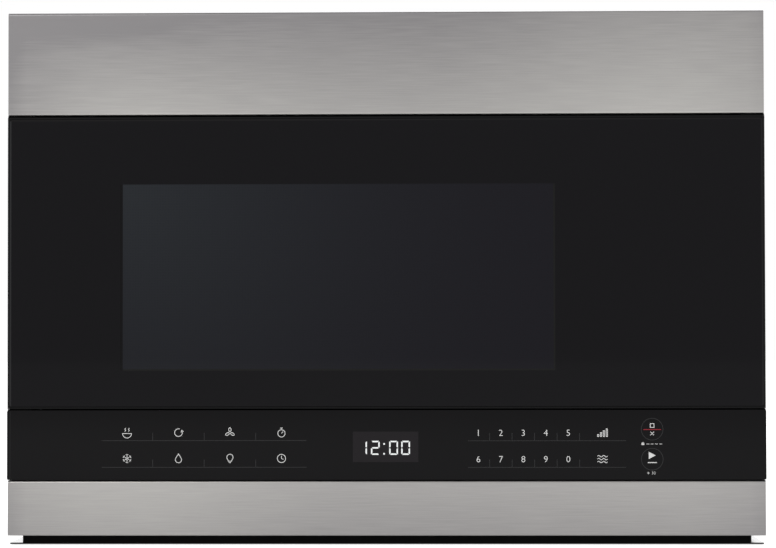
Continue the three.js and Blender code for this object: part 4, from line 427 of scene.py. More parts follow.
def panPaint():  # satin black enamel outside and on the front lip, with a painted highlight on the face that looks down; bare zinc inside, polished in front
    look = {
        "lipPaint": "060606",
        "underPaintedGleam": "2b2b2c",  # painted highlight: lighter paint on the face that looks down, standing in for light from the floor gleaming on it
        "underGleam": 0.75,
        "underFace": (0.3, 0.1),  # from paint to gleam, in height
        "zinc": ("e6e7e8", "b4b8b9"),  # near the front and further back
        "dull": (0.12, 0.45),
        "polished": (-95, -75),  # from polished to dull, in depth
        "satin": 0.42,
        "inside": 0.7,  # zinc above this height and behind this depth
        "lip": -187,
        "peel": (2, 2, 2),
        "height": 0.03,
    }
    material, tree, shader, coords = startMaterial("panEnamelOverZinc", {"Specular IOR Level": 0.03})
    place = addNode(tree, "Mapping", {"Vector": coords, "Scale": perUnit(*look["peel"])})
    peel = addNode(tree, "TexNoise", {"Vector": place, "Scale": 1, "Detail": 2})
    drive(tree, shader, peel, height=look["height"])
    axes = addNode(tree, "SeparateXYZ", {0: coords}, None)
    above = addNode(tree, "Math", {0: axes["Z"], 1: look["inside"] * mm}, operation="GREATER_THAN")
    behind = addNode(tree, "Math", {0: axes["Y"], 1: look["lip"] * mm}, operation="GREATER_THAN")
    bare = addNode(tree, "Math", {0: above, 1: behind}, operation="MULTIPLY")
    reach = {}
    for name, axis in (("underFace", "Z"), ("polished", "Y")):
        start, end = look[name]
        edge = {"Value": axes[axis], "From Min": start * mm, "From Max": end * mm}
        reach[name] = addNode(tree, "MapRange", edge)
    under, far = reach["underFace"], reach["polished"]
    # painted highlight: the face that looks down takes the lighter paint
    shades = {"Factor": under, 6: linear(look["lipPaint"]), 7: linear(look["underPaintedGleam"])}
    enamel = addNode(tree, "Mix", shades, **betweenColours)
    shades = {"Factor": far, 6: linear(look["zinc"][0]), 7: linear(look["zinc"][1])}
    zinc = addNode(tree, "Mix", shades, **betweenColours)
    colour = addNode(tree, "Mix", {"Factor": bare, 6: enamel, 7: zinc}, **betweenColours)
    tree.links.new(colour, shader.inputs["Base Color"])
    gleam = addNode(tree, "MapRange", {"Value": under, "To Max": look["underGleam"]})
    metallic = addNode(tree, "Math", {0: bare, 1: gleam}, operation="MAXIMUM")
    tree.links.new(metallic, shader.inputs["Metallic"])
    near, away = look["dull"]
    dull = addNode(tree, "MapRange", {"Value": far, "To Min": near, "To Max": away})
    rough = addNode(tree, "Mix", {"Factor": bare, 2: look["satin"], 3: dull})
    tree.links.new(rough, shader.inputs["Roughness"])
    return material


paints = {
    "case": mottledMaterial(  # grey powder coat: fine orange peel with a soft sheen
        "greyPowderCoat", {"Specular IOR Level": 0.4},
        {"size": 1.6, "colours": ("bcbdbb", "c6c7c5"), "roughness": (0.42, 0.58), "height": 0.03},
    ),
    "black": mottledMaterial(  # black enamel baked on steel
        "blackEnamel", {"Specular IOR Level": 0.4},
        {"size": 2.2, "colours": ("121213", "19191a"), "roughness": (0.34, 0.5), "height": 0.02},
    ),
    "pan": panPaint(),
    "cavity": mottledMaterial(  # pale baked enamel with fine specks
        "speckledEnamel", {"Specular IOR Level": 0.5},
        {"size": 0.9, "detail": 4, "colours": ("9f9c96", "c2bfb9"), "roughness": (0.24, 0.4),
         "height": 0.015},
    ),
    "screen": screenPaint(),
}
metals = {
    "brushed": brushedStainless(),
    "zinc": galvanised(),
    "bare": mottledMaterial(  # turned mild steel, fine lines round the shaft
        "turnedSteel", {"Metallic": 1},
        {"size": 0.5, "stretch": (1, 8, 8), "colours": ("7f8284", "9b9ea0"), "roughness": (0.26, 0.42),
         "height": 0.01},
    ),
    "aluminium": mottledMaterial(  # mill-finish aluminium with faint rolling lines
        "millAluminium", {"Metallic": 1},
        {"size": 0.8, "stretch": (1, 30, 1), "colours": ("acafb1", "c4c7c9"), "roughness": (0.3, 0.46),
         "height": 0.01},
    ),
    "motor": mottledMaterial(  # zinc-plated motor cans, slightly cloudy
        "platedCan", {"Metallic": 0.95},
        {"size": 5, "colours": ("656a6c", "828688"), "roughness": (0.3, 0.5), "height": 0.01},
    ),
}
plastics = {
    "black": mottledMaterial(  # moulded ABS with a fine spark texture
        "texturedBlackAbs", {"Specular IOR Level": 0.3},
        {"size": 0.7, "colours": ("0e0e0f", "161617"), "roughness": (0.42, 0.6), "height": 0.03},
    ),
    "rim": mottledMaterial(  # deep black ABS of the door and panel frames, nearly without a gleam
        "deepBlackAbs", {"Specular IOR Level": 0.1},
        {"size": 0.7, "colours": ("050505", "0a0a0b"), "roughness": (0.45, 0.6), "height": 0.03},
    ),
    "foam": mottledMaterial(  # closed cell foam, dull and slightly pitted
        "closedCellFoam", {"Specular IOR Level": 0.05},
        {"size": 0.6, "detail": 3, "colours": ("040404", "0a0a0a"), "roughness": (0.8, 0.95),
         "height": 0.12},
    ),
    "white": mottledMaterial(  # acetal: waxy and slightly warm
        "mouldedAcetal", {"Subsurface Weight": 0.15, "Subsurface Scale": 0.002},
        {"size": 1.4, "colours": ("cfcdc5", "dbd9d1"), "roughness": (0.34, 0.5), "height": 0.02},
    ),
    "mica": mottledMaterial(  # pressed mica sheet with silvery flakes
        "pressedMica", {},
        {"size": 3.2, "detail": 5, "colours": ("9c9077", "c9bea3"), "roughness": (0.3, 0.7),
         "height": 0.03},
    ),
    "carbon": mottledMaterial(  # charcoal grains about 3 mm across
        "charcoalGrains", {"Specular IOR Level": 0.2},
        {"size": 3, "detail": 3, "colours": ("101011", "2f2f31"), "roughness": (0.7, 0.95),
         "height": 0.8},
    ),
}
glasses = {
    "door": doorGlassMaterial(),
    "panel": controlGlassMaterial(),
    "pane": clearGlass("floatPane", "dfe6e7", (0.01, 0.03)),
    "tray": clearGlass("pressedTrayGlass", "e3eeec", (0.02, 0.06)),
    "lamp": clearGlass(
        "frostedLampGlass", "efece0", (0.25, 0.4), cap=((-275, 80.6, 273), (-249, 95, 299)),
    ),
    "lens": clearGlass("prismaticLens", "f1efe6", (0.12, 0.2), ribs=3),
}

# finishes inside the electrical parts: dark and light tone, grain in mm, metallic, roughness

inner = {
    "plates": ("3c3e40", "6c6f70", (60, 1.0, 60), 0.7, 0.45),  # core plates 0.5 mm thick; drawn 1 mm
    "wire": ("64290f", "b0622f", (60, 60, 0.9), 0.6, 0.34),  # varnished copper windings
    "paper": ("a08c62", "c4b48c", (20, 20, 1.5), 0, 0.65),  # varnished paper wrap
    "tin": ("a7aaab", "c3c6c7", (1, 1, 8), 1, 0.3),
    "zinc": ("8d9294", "b3b8b9", (9, 9, 9), 0.9, 0.42),
    "fins": ("a6a9ac", "c6c9cb", (0.6, 20, 0.6), 1, 0.35),
    "ferrite": ("202123", "303133", (1.5, 1.5, 1.5), 0, 0.7),
    "ceramic": ("cbb9ac", "dccfc4", (2, 2, 2), 0, 0.4),
    "bronze": ("7c7050", "9d9067", (8, 1, 8), 0.9, 0.4),
    "mask": ("24512f", "3f7d4e", (14, 14, 6), 0, 0.32, "TexBrick"),  # solder mask over copper tracks
    "phenolic": ("241b16", "33271f", (1, 1, 1), 0, 0.45),
    "sleeve": ("101318", "191d24", (1, 1, 1), 0, 0.3),
    "relay": ("17181a", "232427", (1, 1, 1), 0, 0.38),
    "tape": ("b08f2c", "cfae49", (20, 20, 3), 0, 0.4),
    "blue": ("1f4a86", "2c5c9a", (1, 1, 1), 0, 0.45),
    "nylon": ("d0cdc3", "dfdcd3", (1, 1, 1), 0, 0.45),
    "grey": ("66686a", "797b7d", (1, 1, 1), 0, 0.48),
    "red": ("8d2723", "a3352f", (1, 1, 1), 0, 0.4),
    "can": ("a9acaf", "c2c5c7", (1, 1, 30), 1, 0.34),
    "glass": ("090a0c", "111215", (3, 3, 3), 0, 0.06),
    "led": ("d9b43a", "e6c95e", (1, 1, 1), 0, 0.35),
    "white": ("d6d5cf", "e2e1dc", (1.4, 1.4, 1.4), 0, 0.42),
}
innerHeight = 0.02
# bricks of uneven length and offset, which read as tracks
trackPattern = {"offset": 0.31, "offset_frequency": 3, "squash": 2.6, "squash_frequency": 2}


def layered(name, base, *regions):  # one solid that holds several materials, told apart by place
    material, tree, shader, coords = startMaterial(name, {})

    def surface(dark, light, grain, metallic, roughness, kind="TexNoise"):
        place = addNode(tree, "Mapping", {"Vector": coords, "Scale": perUnit(*grain)})
        settings = {}
        if kind == "TexBrick":  # drawn upright, on a board that faces the front
            place = addNode(tree, "Mapping", {"Vector": place, "Rotation": (math.pi / 2, 0, 0)})
            settings = trackPattern
        pattern = addNode(tree, kind, {"Vector": place, "Scale": 1}, "Fac", **settings)
        shades = {"Factor": pattern, 6: linear(dark), 7: linear(light)}
        return addNode(tree, "Mix", shades, **betweenColours), pattern, (metallic, roughness, 0, 1)

    now = surface(*inner[base])
    for low, high, finish in regions:
        mask = insideBox(tree, coords, low, high)
        now = [
            addNode(tree, "Mix", {"Factor": mask, 6: old, 7: new}, **betweenColours)
            for old, new in zip(now, surface(*inner[finish]))
        ]
    colour, pattern, levels = now
    metallic, roughness, _ = addNode(tree, "SeparateColor", {0: levels}, None)
    drive(tree, shader, pattern, height=innerHeight)
    tree.links.new(colour, shader.inputs["Base Color"])
    tree.links.new(metallic, shader.inputs["Metallic"])
    tree.links.new(roughness, shader.inputs["Roughness"])
    return material


# each region of a part is a box between two corners, in millimetres, and its finish

switchBody = layered(
    "nylonSwitchBody", "grey",
    ((260, -100.65, 150), (291, -93, 300), "tin"), ((260, -140, 150), (291, -116.75, 300), "red"),
)
finishes = {
    "transformer": layered(
        "varnishedCoreAndWindings", "plates",
        ((185, 70, 3.4), (288, 104.45, 75), "wire"), ((185, 150.55, 3.4), (288, 170, 75), "wire"),
        ((185, 70, 38), (288, 104.45, 75), "paper"), ((185, 150.55, 38), (288, 170, 75), "paper"),
        ((185, 80, 50), (288, 89.4, 60), "tin"),
    ),
    "capacitor": layered(
        "drawnAluminiumCan", "can",
        ((205, 10, 89.35), (270, 50, 93.35), "phenolic"), ((205, 10, 93.35), (270, 50, 101), "tin"),
    ),
    "magnetron": layered(
        "zincYokeAndFins", "zinc",
        ((190.8, 20.2, 230), (252.4, 95.8, 310), "fins"), ((203, 42, 254), (240.2, 74, 286), "wire"),
        ((190.7, 30, 242), (200.8, 86, 298), "ferrite"), ((242.4, 30, 242), (252.5, 86, 298), "ferrite"),
        ((171, 45, 255), (184, 71, 285), "ceramic"), ((254.9, 30, 240), (284, 86, 300), "tin"),
    ),
    "fan_motor": layered(
        "coreWithCopperCoil", "plates",
        ((205.2, 160, 225.9), (219.4, 184, 258.1), "wire"),
        ((223, 160, 232.8), (241.6, 163.25, 251.2), "bronze"),
        ((223, 179.35, 232.8), (241.6, 184, 251.2), "bronze"),
    ),
    "control_board": layered(
        "maskedControlBoard", "mask",
        ((-139, -182.85, 60), (-95, -160, 96), "plates"),
        ((-132, -182.85, 60), (-102, -160, 96), "tape"),
        ((106, -182.85, 66), (174, -167, 90), "relay"), ((17, -182.85, 80), (43, -169.1, 92), "sleeve"),
        ((17, -169.1, 80), (43, -168, 92), "can"), ((59, -182.85, 85), (101, -174, 93), "nylon"),
    ),
    "filter_board": layered(
        "maskedFilterBoard", "mask",
        ((198, 177, 355), (227, 189.55, 385), "wire"), ((234, 170, 356), (251, 189.55, 386), "tape"),
        ((256, 176, 357), (265, 189.55, 381), "blue"), ((236, 183, 347), (263, 189.55, 355), "glass"),
        ((236, 183, 347), (243, 189.55, 355), "tin"), ((256, 183, 347), (263, 189.55, 355), "tin"),
        ((184, 191.25, 342), (285, 198, 398), "nylon"),
    ),
    "turntable_motor": layered(
        "zincMotorCan", "zinc", ((-46.2, 32.6, 105), (-29.8, 42, 121.8), "nylon"),
    ),
    "display_module": layered(
        "displayWindow", "grey", ((-26.6, -196, 66), (25, -195, 90), "glass"),
    ),
    "cooktop_lamp": layered(
        "lampTrayAcetal", "white", ((-75, -129.7, 15.5), (-1, -123.3, 19.5), "led"),
    ),
}
finishOf = {
    paints["case"]: ("outer_case",),
    paints["black"]: ("front_plate",),
    paints["pan"]: ("base_pan",),
    paints["cavity"]: ("oven_cavity",),
    paints["screen"]: ("door_panel",),
    metals["brushed"]: ("top_trim", "lower_trim"),
    metals["zinc"]: (
        "back_plate", "lamp_holder", "blower_housing_left", "blower_housing_right", "blower_bracket",
        "exhaust_collar", "waveguide", "lower_hinge", "upper_hinge", "damper_flap",
    ),
    metals["bare"]: ("motor_spindle", "latch_spring", "blower_shaft"),
    metals["aluminium"]: ("grease_filter_left", "grease_filter_right"),
    metals["motor"]: ("blower_motor",),
    glasses["door"]: ("door_glass",),
    glasses["panel"]: ("control_glass",),
    glasses["pane"]: ("inner_window",),
    glasses["tray"]: ("glass_tray",),
    glasses["lamp"]: ("cavity_lamp",),
    glasses["lens"]: ("cooktop_lamp_lens",),
    plastics["rim"]: ("door_frame", "control_fascia"),
    plastics["black"]: (
        "choke_cover", "vent_frame", "drive_coupler", "blower_wheel_left", "blower_wheel_right",
        "fan_shroud", "fan_blade", "cord_bushing",
    ),
    plastics["white"]: ("roller_ring", "roller_1", "roller_2", "roller_3", "latch_pawl", "latch_body"),
    plastics["mica"]: ("waveguide_cover",),
    plastics["carbon"]: ("charcoal_filter",),
    switchBody: ("primary_switch", "secondary_switch", "monitor_switch"),
}
for material, names in finishOf.items():
    finishes.update(dict.fromkeys(names, material))
for name, material in finishes.items():
    for slot in nodes[name].material_slots:
        slot.material = material
print("materials set; without one:", sorted(set(nodes) - set(finishes)))


def addSkin(bm, rows, closed=False):  # a solid over matching rings of points, in millimetres
    rings = [[bm.verts.new(Vector(point) * mm) for point in row] for row in rows]
    following = rings[1:] + rings[:1] if closed else rings[1:]
    for one, other in zip(rings, following):
        for i, corner in enumerate(one):
            k = (i + 1) % len(one)
            bm.faces.new((corner, one[k], other[k], other[i]))
    if not closed:
        bm.faces.new(rings[0])
        bm.faces.new(list(reversed(rings[-1])))


def polar(radius, angle):  # angles in degrees
    return radius * math.cos(math.radians(angle)), radius * math.sin(math.radians(angle))


def arc(x, z, radius, start, end, steps=16):
    points = [polar(radius, start + (end - start) * i / steps) for i in range(steps + 1)]
    return [(x + u, z + v) for u, v in points]


def oval(x, z, along, wide, turn=0, steps=24):
    c, s = polar(1, turn)
    points = [(along * u, wide * v) for u, v in arc(0, 0, 1, 0, 360, steps)[:-1]]
    return [(x + u * c - v * s, z + u * s + v * c) for u, v in points]


# marks printed on the control panel, as thin raised ink; places and sizes in millimetres

inkLook = {
    "face": -198.5,  # front of the glass
    "raised": 0.06,
    "sunk": 0.3,
    "white": "dededd",
    "faint": "2b2b2c",
    "red": "a02a35",
    "lit": "eef0f0",
    "glow": 0.15,
    "grain": (0.4, 0.4, 0.4),
    "darker": 0.94,
    "roughness": (0.5, 0.65),
    "line": 0.5,
    "faintLine": 0.45,
    "mitre": 0.5,  # keeps the sharp corners of a line from reaching out
    "thinning": -0.01,  # lighter strokes of the digits
    "curveSteps": 4,
}
inkLayers = (inkLook["face"] - inkLook["raised"], inkLook["face"] + inkLook["sunk"])  # front and back


def inkMaterial(name, colour, glow=0):  # screen-printed ink, matt with a faint grain
    material, tree, shader, coords = startMaterial(
        name, {"Specular IOR Level": 0.2, "Emission Color": linear(colour), "Emission Strength": glow}
    )
    place = addNode(tree, "Mapping", {"Vector": coords, "Scale": perUnit(*inkLook["grain"])})
    grain = addNode(tree, "TexNoise", {"Vector": place, "Scale": 1})
    channels = [int(colour[i:i + 2], 16) * inkLook["darker"] for i in (0, 2, 4)]
    darker = "".join(f"{int(channel):02x}" for channel in channels)
    drive(tree, shader, grain, (darker, colour), inkLook["roughness"])
    return material


whiteInk = inkMaterial("whiteScreenInk", inkLook["white"])
faintInk = inkMaterial("greyScreenInk", inkLook["faint"])
redInk = inkMaterial("redScreenInk", inkLook["red"])
litSegment = inkMaterial("litSegment", inkLook["lit"], inkLook["glow"])


def addStroke(bm, points, width, closed=False):  # one drawn line of ink through points (x, z)
    marks = [Vector(point) for point in points]
    count = len(marks)
    front, rear = inkLayers
    rings = []
    for i, here in enumerate(marks):
        pairs = [(i - 1, i), (i, i + 1)]
        runs = [marks[b % count] - marks[a] for a, b in pairs if closed or (a >= 0 and b < count)]
        sides = [Vector((-run.y, run.x)).normalized() for run in runs]
        side = sum(sides, Vector((0, 0))).normalized()
        side *= width / 2 / max(inkLook["mitre"], side.dot(sides[0]))
        left, right = here + side, here - side
        around = ((left, front), (right, front), (right, rear), (left, rear))
        rings.append([(p.x, y, p.y) for p, y in around])
    addSkin(bm, rings, closed)


def addPatch(bm, points):  # a filled outline of ink
    addSkin(bm, [[(x, y, z) for x, z in points] for y in inkLayers])


def addDigits(bm, text, x, z, height):  # digits in the built-in plain typeface
    curve = bpy.data.curves.new("digits", "FONT")
    curve.body = text
    curve.align_x = "CENTER"
    curve.offset = inkLook["thinning"]
    curve.resolution_u = inkLook["curveSteps"]
    holder = bpy.data.objects.new("digits", curve)
    scene.collection.objects.link(holder)
    bpy.context.view_layer.update()
    drawn = holder.evaluated_get(bpy.context.evaluated_depsgraph_get())
    flat = bpy.data.meshes.new_from_object(drawn)
    bpy.data.objects.remove(holder)
    levels = [v.co.y for v in flat.vertices]
    middle = (min(levels) + max(levels)) / 2
    scale = height / (max(levels) - min(levels))
    points = [(x + v.co.x * scale, z + (v.co.y - middle) * scale) for v in flat.vertices]
    front, rear = [[bm.verts.new((u * mm, y * mm, w * mm)) for u, w in points] for y in inkLayers]
    edges = {}
    for face in flat.polygons:
        loop = list(face.vertices)
        edges.update(dict.fromkeys(zip(loop, loop[1:] + loop[:1])))
        for layer in (front, rear):
            bm.faces.new([layer[i] for i in loop])
    for a, b in edges:
        if (b, a) not in edges:  # an outer edge gets a side
            bm.faces.new((front[a], front[b], rear[b], rear[a]))


# places are measured from the middle of the unit and from its underside

keypad = {
    "digits": ("12345", "67890"),
    "digitsLeft": 74.2,
    "digitPitch": 17.93,
    "digitHeight": 4.9,
    "digitRows": (89.4, 68.4),
    "digitRules": (65.9, 191.9, (83.05, 61.85)),  # left, right, heights
    "digitTicks": (83.2, 101.1, 119.0, 137.0, 154.9),
    "wideKey": 173.1,
    "wideSigns": ("power", "waves"),
    "functionsLeft": -207,
    "functionPitch": 41.27,
    "functionSigns": (("steam", "warmAgain", "fan", "timer"), ("thaw", "melt", "lamp", "clock")),
    "functionRows": (89.8, 69.1),
    "functionRules": (-227.3, -63.2, (83.4, 62.05)),
    "functionTicks": (-186.4, -145.1, -103.8),
    "tick": (0.4, 6.2),  # its ends above the rule
}
roundKeys = {
    "x": 212.7,
    "radius": 8.65,
    "middles": {"stop": 92.2, "start": 68.3},
    "bar": (7, -0.3),  # half its length, and its height on the stop key
    "seconds": ("30", 1, -11, 2.2),  # text, place from the start key's middle, height
}

bm = bmesh.new()
for row, digits in zip(keypad["digitRows"], keypad["digits"]):
    for i, digit in enumerate(digits):
        addDigits(bm, digit, keypad["digitsLeft"] + i * keypad["digitPitch"], row, keypad["digitHeight"])
keyDigits = meshObject("key_digits", bm, whiteInk)
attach(keyDigits, "cabinet")

# rules and ticks between the touch keys, and a ring round each round key
bm = bmesh.new()
for group in ("function", "digit"):
    left, right, heights = keypad[group + "Rules"]
    for rule in heights:
        addStroke(bm, [(left, rule), (right, rule)], inkLook["faintLine"])
        for x in keypad[group + "Ticks"]:
            addStroke(bm, [(x, rule + end) for end in keypad["tick"]], inkLook["faintLine"])
for z in roundKeys["middles"].values():
    ring = oval(roundKeys["x"], z, roundKeys["radius"], roundKeys["radius"], steps=48)
    addStroke(bm, ring, inkLook["faintLine"], closed=True)
keyRules = meshObject("key_rules", bm, faintInk)
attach(keyRules, "cabinet")

# plain signs for what each touch key does: lines about its middle, and whether each closes
signs = {
    "steam": [
        (arc(0, -0.7, 3.6, 180, 360), True),
        ([(-1.8, 0.9), (-1.1, 1.8), (-1.8, 2.7), (-1.1, 3.6)], False),
        ([(1.1, 0.9), (1.8, 1.8), (1.1, 2.7), (1.8, 3.6)], False),
    ],
    "warmAgain": [
        (arc(0, 0, 3.1, 70, 380), False),
        ([(4.07, 0.87), (2.6, 1.9), (2.13, 0.16)], False),
    ],
    "fan": [(oval(*polar(2.3, angle), 1.6, 0.95, angle, 16), True) for angle in (90, 210, -30)],
    "timer": [
        (oval(0, -0.7, 2.9, 2.9), True),
        ([(0, 2.2), (0, 3.4)], False),
        ([(-1.1, 3.6), (1.1, 3.6)], False),
        ([(0, -0.7), (1.2, 0.7)], False),
    ],
    "thaw": [([polar(-3.6, angle), polar(3.6, angle)], False) for angle in (90, 150, 30)] + [
        ([polar(3.4, angle + 17.2), polar(2.4, angle), polar(3.4, angle - 17.2)], False)
        for angle in range(90, 450, 60)
    ],
    "melt": [([(0, 3.7)] + arc(0, -0.9, 2.5, 160, 380), True)],
    "lamp": [
        (arc(0, 0.9, 2.5, -50, 230), False),
        ([(-1.6, -1.0), (-1.3, -2.2), (1.3, -2.2), (1.6, -1.0)], False),
        ([(-0.9, -3.3), (0.9, -3.3)], False),
    ],
    "clock": [(oval(0, 0, 3.3, 3.3, steps=28), True), ([(0, 2.1), (0, 0), (1.6, -0.8)], False)],
    "power": [
        ([(x, -3), (x + 1, -3), (x + 1, top), (x, top)], True)
        for x, top in ((-3.9, -1.4), (-1.6, 0.1), (0.7, 1.6), (3.0, 3.1))
    ],
    "waves": [
        ([(x / 4, z + polar(0.6, x * 22.5)[1]) for x in range(-16, 17)], False) for z in (-2.3, 0, 2.3)
    ],
}
signPlaces = [(name, keypad["wideKey"], z) for name, z in zip(keypad["wideSigns"], keypad["digitRows"])]
for z, names in zip(keypad["functionRows"], keypad["functionSigns"]):
    for i, name in enumerate(names):
        signPlaces.append((name, keypad["functionsLeft"] + i * keypad["functionPitch"], z))
bm = bmesh.new()
for name, x, z in signPlaces:
    for points, closed in signs[name]:
        addStroke(bm, [(x + u, z + v) for u, v in points], inkLook["line"], closed)
keySigns = meshObject("key_signs", bm, whiteInk)
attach(keySigns, "cabinet")

# signs of the round keys: points about the key's middle, width of line or None where filled, closed
roundSigns = {
    "stop": [
        ([(-1.5, 1.4), (1.5, 1.4), (1.5, 4.4), (-1.5, 4.4)], 0.5, True),
        ([(-1.4, -2.0), (1.4, -4.8)], 0.5, False),
        ([(-1.4, -4.8), (1.4, -2.0)], 0.5, False),
        # a lock and four dashes below the key
        ([(-8.5, -12.6), (-6.3, -12.6), (-6.3, -11.2), (-8.5, -11.2)], None, True),
        (arc(-7.4, -11.2, 0.75, 0, 180, 10), 0.3, False),
    ] + [([(x, -11.8), (x + 2.3, -11.8)], 0.4, False) for x in (-4.6, -1.2, 2.2, 5.6)],
    "start": [
        ([(-2.8, 0.1), (2.7, 3.0), (-2.8, 5.9)], None, True),
        ([(-3.6, -2.7), (3.6, -2.7)], 0.7, False),
        # a plus before the seconds below the key
        ([(-4.2, -11), (-2.2, -11)], 0.35, False),
        ([(-3.2, -12), (-3.2, -10)], 0.35, False),
    ],
}
bm = bmesh.new()
for name, z in roundKeys["middles"].items():
    for points, width, closed in roundSigns[name]:
        placed = [(roundKeys["x"] + u, z + v) for u, v in points]
        if width:
            addStroke(bm, placed, width, closed)
        else:
            addPatch(bm, placed)
text, u, v, height = roundKeys["seconds"]
addDigits(bm, text, roundKeys["x"] + u, roundKeys["middles"]["start"] + v, height)
roundKeySigns = meshObject("round_key_signs", bm, whiteInk)
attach(roundKeySigns, "cabinet")
bm = bmesh.new()
half, v = roundKeys["bar"]
barHeight = roundKeys["middles"]["stop"] + v
addStroke(bm, [(roundKeys["x"] - half, barHeight), (roundKeys["x"] + half, barHeight)], inkLook["line"])
stopBar = meshObject("stop_bar", bm, redInk)
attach(stopBar, "cabinet")

# clock digits of the display

clock = {
    "text": "1200",
    "lefts": (-21.8, -11.6, 3.0, 12.6),
    "base": 71.9,
    "width": 7.0,
    "height": 11.2,
    "stroke": 1.15,
    "gap": 0.22,
    "bevel": 0.5,
    "colon": ((-1.1, 72.7), (-1.1, 80.6)),
    "dot": 0.75,
}
segmentsOf = {"0": "abcdef", "1": "bc", "2": "abged"}


def segmentOutline(name):  # one bar of a digit with bevelled ends, from the digit's lower left corner
    w, h, t, g, bevel = (clock[key] for key in ("width", "height", "stroke", "gap", "bevel"))
    half = h / 2
    if name == "g":
        right = [(w - t - g, half + t / 2), (w - g - t / 2, half), (w - t - g, half - t / 2)]
        left = [(t + g, half - t / 2), (g + t / 2, half), (t + g, half + t / 2)]
        return right + left
    if name in "ad":
        shape = [(g + bevel, h), (w - g - bevel, h), (w - g - t, h - t), (g + t, h - t)]
    else:
        shape = [
            (w, half + g), (w, h - g - bevel), (w - bevel / 2, h - g - bevel / 2), (w - t, h - t - g),
            (w - t, half + t / 2 + g),
        ]
    if name in "dce":
        shape = [(x, h - z) for x, z in shape]
    if name in "fe":
        shape = [(w - x, z) for x, z in shape]
    return shape


bm = bmesh.new()
for left, digit in zip(clock["lefts"], clock["text"]):
    for name in segmentsOf[digit]:
        addPatch(bm, [(left + x, clock["base"] + z) for x, z in segmentOutline(name)])
for x, z in clock["colon"]:
    addPatch(bm, oval(x, z, clock["dot"], clock["dot"], steps=12))
clockDigits = meshObject("clock_digits", bm, litSegment)
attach(clockDigits, "cabinet")
print("panel marks drawn")

# foam pads that close the ends of the seams above and below the door

sealPads = {
    "inner": 284,
    "outer": 303.2,
    "front": -197.2,
    "back": -164,
    "levels": ((107.7, 108.5), (343.1, 343.9)),
}
bm = bmesh.new()
for levels in sealPads["levels"]:
    for side in (-1, 1):
        inside, outside = side * sealPads["inner"], side * sealPads["outer"]
        front, back = sealPads["front"], sealPads["back"]
        corners = ((inside, front), (outside, front), (outside, back), (inside, back))
        addSkin(bm, [[(x, y, z) for x, y in corners] for z in levels])
pads = meshObject("seam_pads", bm, plastics["foam"])
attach(pads, "cabinet")
print("seam pads placed")

# screws of the case and the oven front

screwLook = {
    "radius": 3.4,
    "height": 0.8,
    "sunk": 0.2,
    "rounding": ((1, 0.25), (0.86, 0.75), (0.7, 1)),  # shares of radius and height
    "armLength": 1.9,
    "armWidth": 0.9,
    "depth": 0.6,
    "taper": 0.7,
    "sidePlaces": ((186, 60), (186, 226), (186, 392), (-172, 70), (-172, 385)),  # y, z
    "sideFace": 302.5,
    "platePlaces": ((-262, 334), (-262, 118), (190, 334), (190, 118), (240, 226)),  # x, z
    "plateFace": -158,
}


def addScrew(bm, place, facing):  # low pan head with a cross recess
    out = Vector(facing)
    across = out.orthogonal().normalized()
    up = out.cross(across)
    b, a = screwLook["armLength"], screwLook["armWidth"] / 2
    corners = [
        (b, -a), (b, a), (a, a), (a, b), (-a, b), (-a, a),
        (-b, a), (-b, -a), (-a, -a), (-a, -b), (a, -b), (a, -a),
    ]
    cross = []
    for (u, v), (p, q) in zip(corners, corners[1:] + corners[:1]):
        cross += [(u, v), ((u + p) / 2, (v + q) / 2)]
    turn = range(-15, 345, 15)
    radius, height = screwLook["radius"], screwLook["height"]
    outlines = [([polar(radius, angle) for angle in turn], -screwLook["sunk"])]
    for share, level in screwLook["rounding"]:
        outlines.append(([polar(radius * share, angle) for angle in turn], height * level))
    narrow = [(u * screwLook["taper"], v * screwLook["taper"]) for u, v in cross]
    outlines += [(cross, height), (narrow, height - screwLook["depth"])]
    middle = Vector(place)
    addSkin(bm, [[middle + across * u + up * v + out * h for u, v in points] for points, h in outlines])


for side, name in ((-1, "case_screws_left"), (1, "case_screws_right")):
    bm = bmesh.new()
    for y, z in screwLook["sidePlaces"]:
        addScrew(bm, (side * screwLook["sideFace"], y, z), (side, 0, 0))
    screws = meshObject(name, bm, metals["bare"])
    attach(screws, "cabinet")
bm = bmesh.new()
for x, z in screwLook["platePlaces"]:
    addScrew(bm, (x, screwLook["plateFace"], z), (0, -1, 0))
plateScrews = meshObject("front_plate_screws", bm, metals["bare"])
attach(plateScrews, "cabinet")
print("screws driven")

# grease filters: a lattice of expanded mesh below each, and its wire pull folded flat in front

latticeLook = {
    "pitch": 6.5,
    "strand": 0.9,
    "levels": {-1: (2.0, 2.7), 1: (2.2, 2.9)},  # the strands of one slope lie on those of the other
    "rim": 7.2,
}
pullLook = {
    "width": 32,
    "depth": 13,
    "taper": 1,
    "wire": 0.9,
    "setBack": 3.5,
    "clear": 0.25,
    "sunk": 1.2,
    "sides": 8,
}


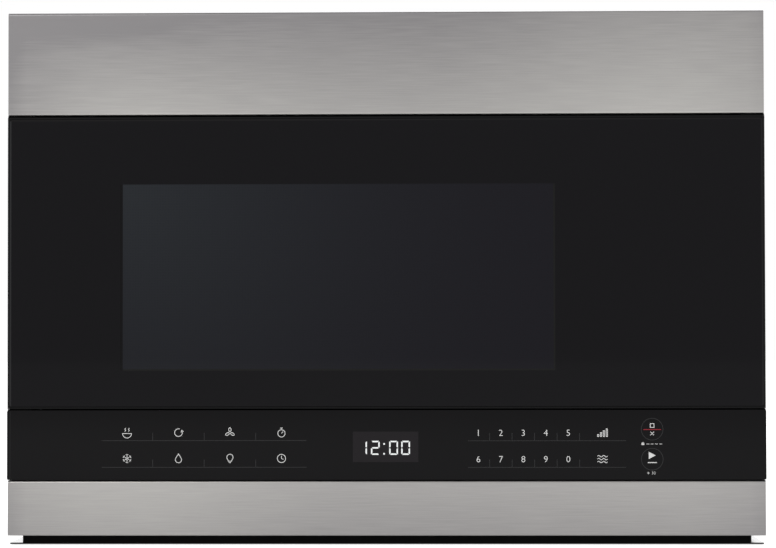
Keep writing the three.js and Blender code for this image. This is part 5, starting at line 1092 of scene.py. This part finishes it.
def addLattice(bm, x0, y0, x1, y1):  # two crossing sets of flat strands
    wide, deep = x1 - x0, y1 - y0
    pitch, half = latticeLook["pitch"], latticeLook["strand"] / 2
    for slope, levels in latticeLook["levels"].items():
        for i in range(int((wide + deep) / pitch)):
            offset = (i + 0.5) * pitch
            start = Vector((max(0, offset - deep), min(offset, deep)))
            end = Vector((min(offset, wide), max(0, offset - wide)))
            side = (end - start).orthogonal().normalized() * half
            corners = [start + side, end + side, end - side, start - side]
            placed = [(x0 + p.x if slope > 0 else x1 - p.x, y0 + p.y) for p in corners]
            addSkin(bm, [[(x, y, z) for x, y in placed] for z in levels])


def addWire(bm, path, radius, sides):  # a round wire through points
    marks = [Vector(point) for point in path]
    rings = []
    for i, here in enumerate(marks):
        runs = [(marks[k + 1] - marks[k]).normalized() for k in (i - 1, i) if 0 <= k < len(marks) - 1]
        along = sum(runs, Vector()).normalized()
        first = first - along * first.dot(along) if rings else along.orthogonal()
        first.normalize()
        second = along.cross(first)
        turns = [polar(radius, 360 * k / sides) for k in range(sides)]
        rings.append([here + first * u + second * v for u, v in turns])
    addSkin(bm, rings)


for side, body in (("left", "filter_left"), ("right", "filter_right")):
    low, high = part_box("grease_filter_" + side)
    low, high = low / mm, high / mm
    rim = latticeLook["rim"]
    bm = bmesh.new()
    addLattice(bm, low.x + rim, low.y + rim, high.x - rim, high.y - rim)
    lattice = meshObject("filter_mesh_" + side, bm, metals["aluminium"])
    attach(lattice, body)

    middle, half = (low.x + high.x) / 2, pullLook["width"] / 2
    narrow, radius = half - pullLook["taper"], pullLook["wire"] / 2
    edge = low.y + pullLook["setBack"]
    bend = edge + pullLook["depth"]
    flat, held = radius + pullLook["clear"], low.z + pullLook["sunk"]
    path = [
        (middle - half, edge, held), (middle - half, edge, flat), (middle - narrow, bend, flat),
        (middle + narrow, bend, flat), (middle + half, edge, flat), (middle + half, edge, held),
    ]
    bm = bmesh.new()
    addWire(bm, path, radius, pullLook["sides"])
    pull = meshObject("filter_pull_" + side, bm, metals["bare"], smooth=True)
    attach(pull, body)
print("filters meshed")

scene.view_settings.view_transform = "Standard"
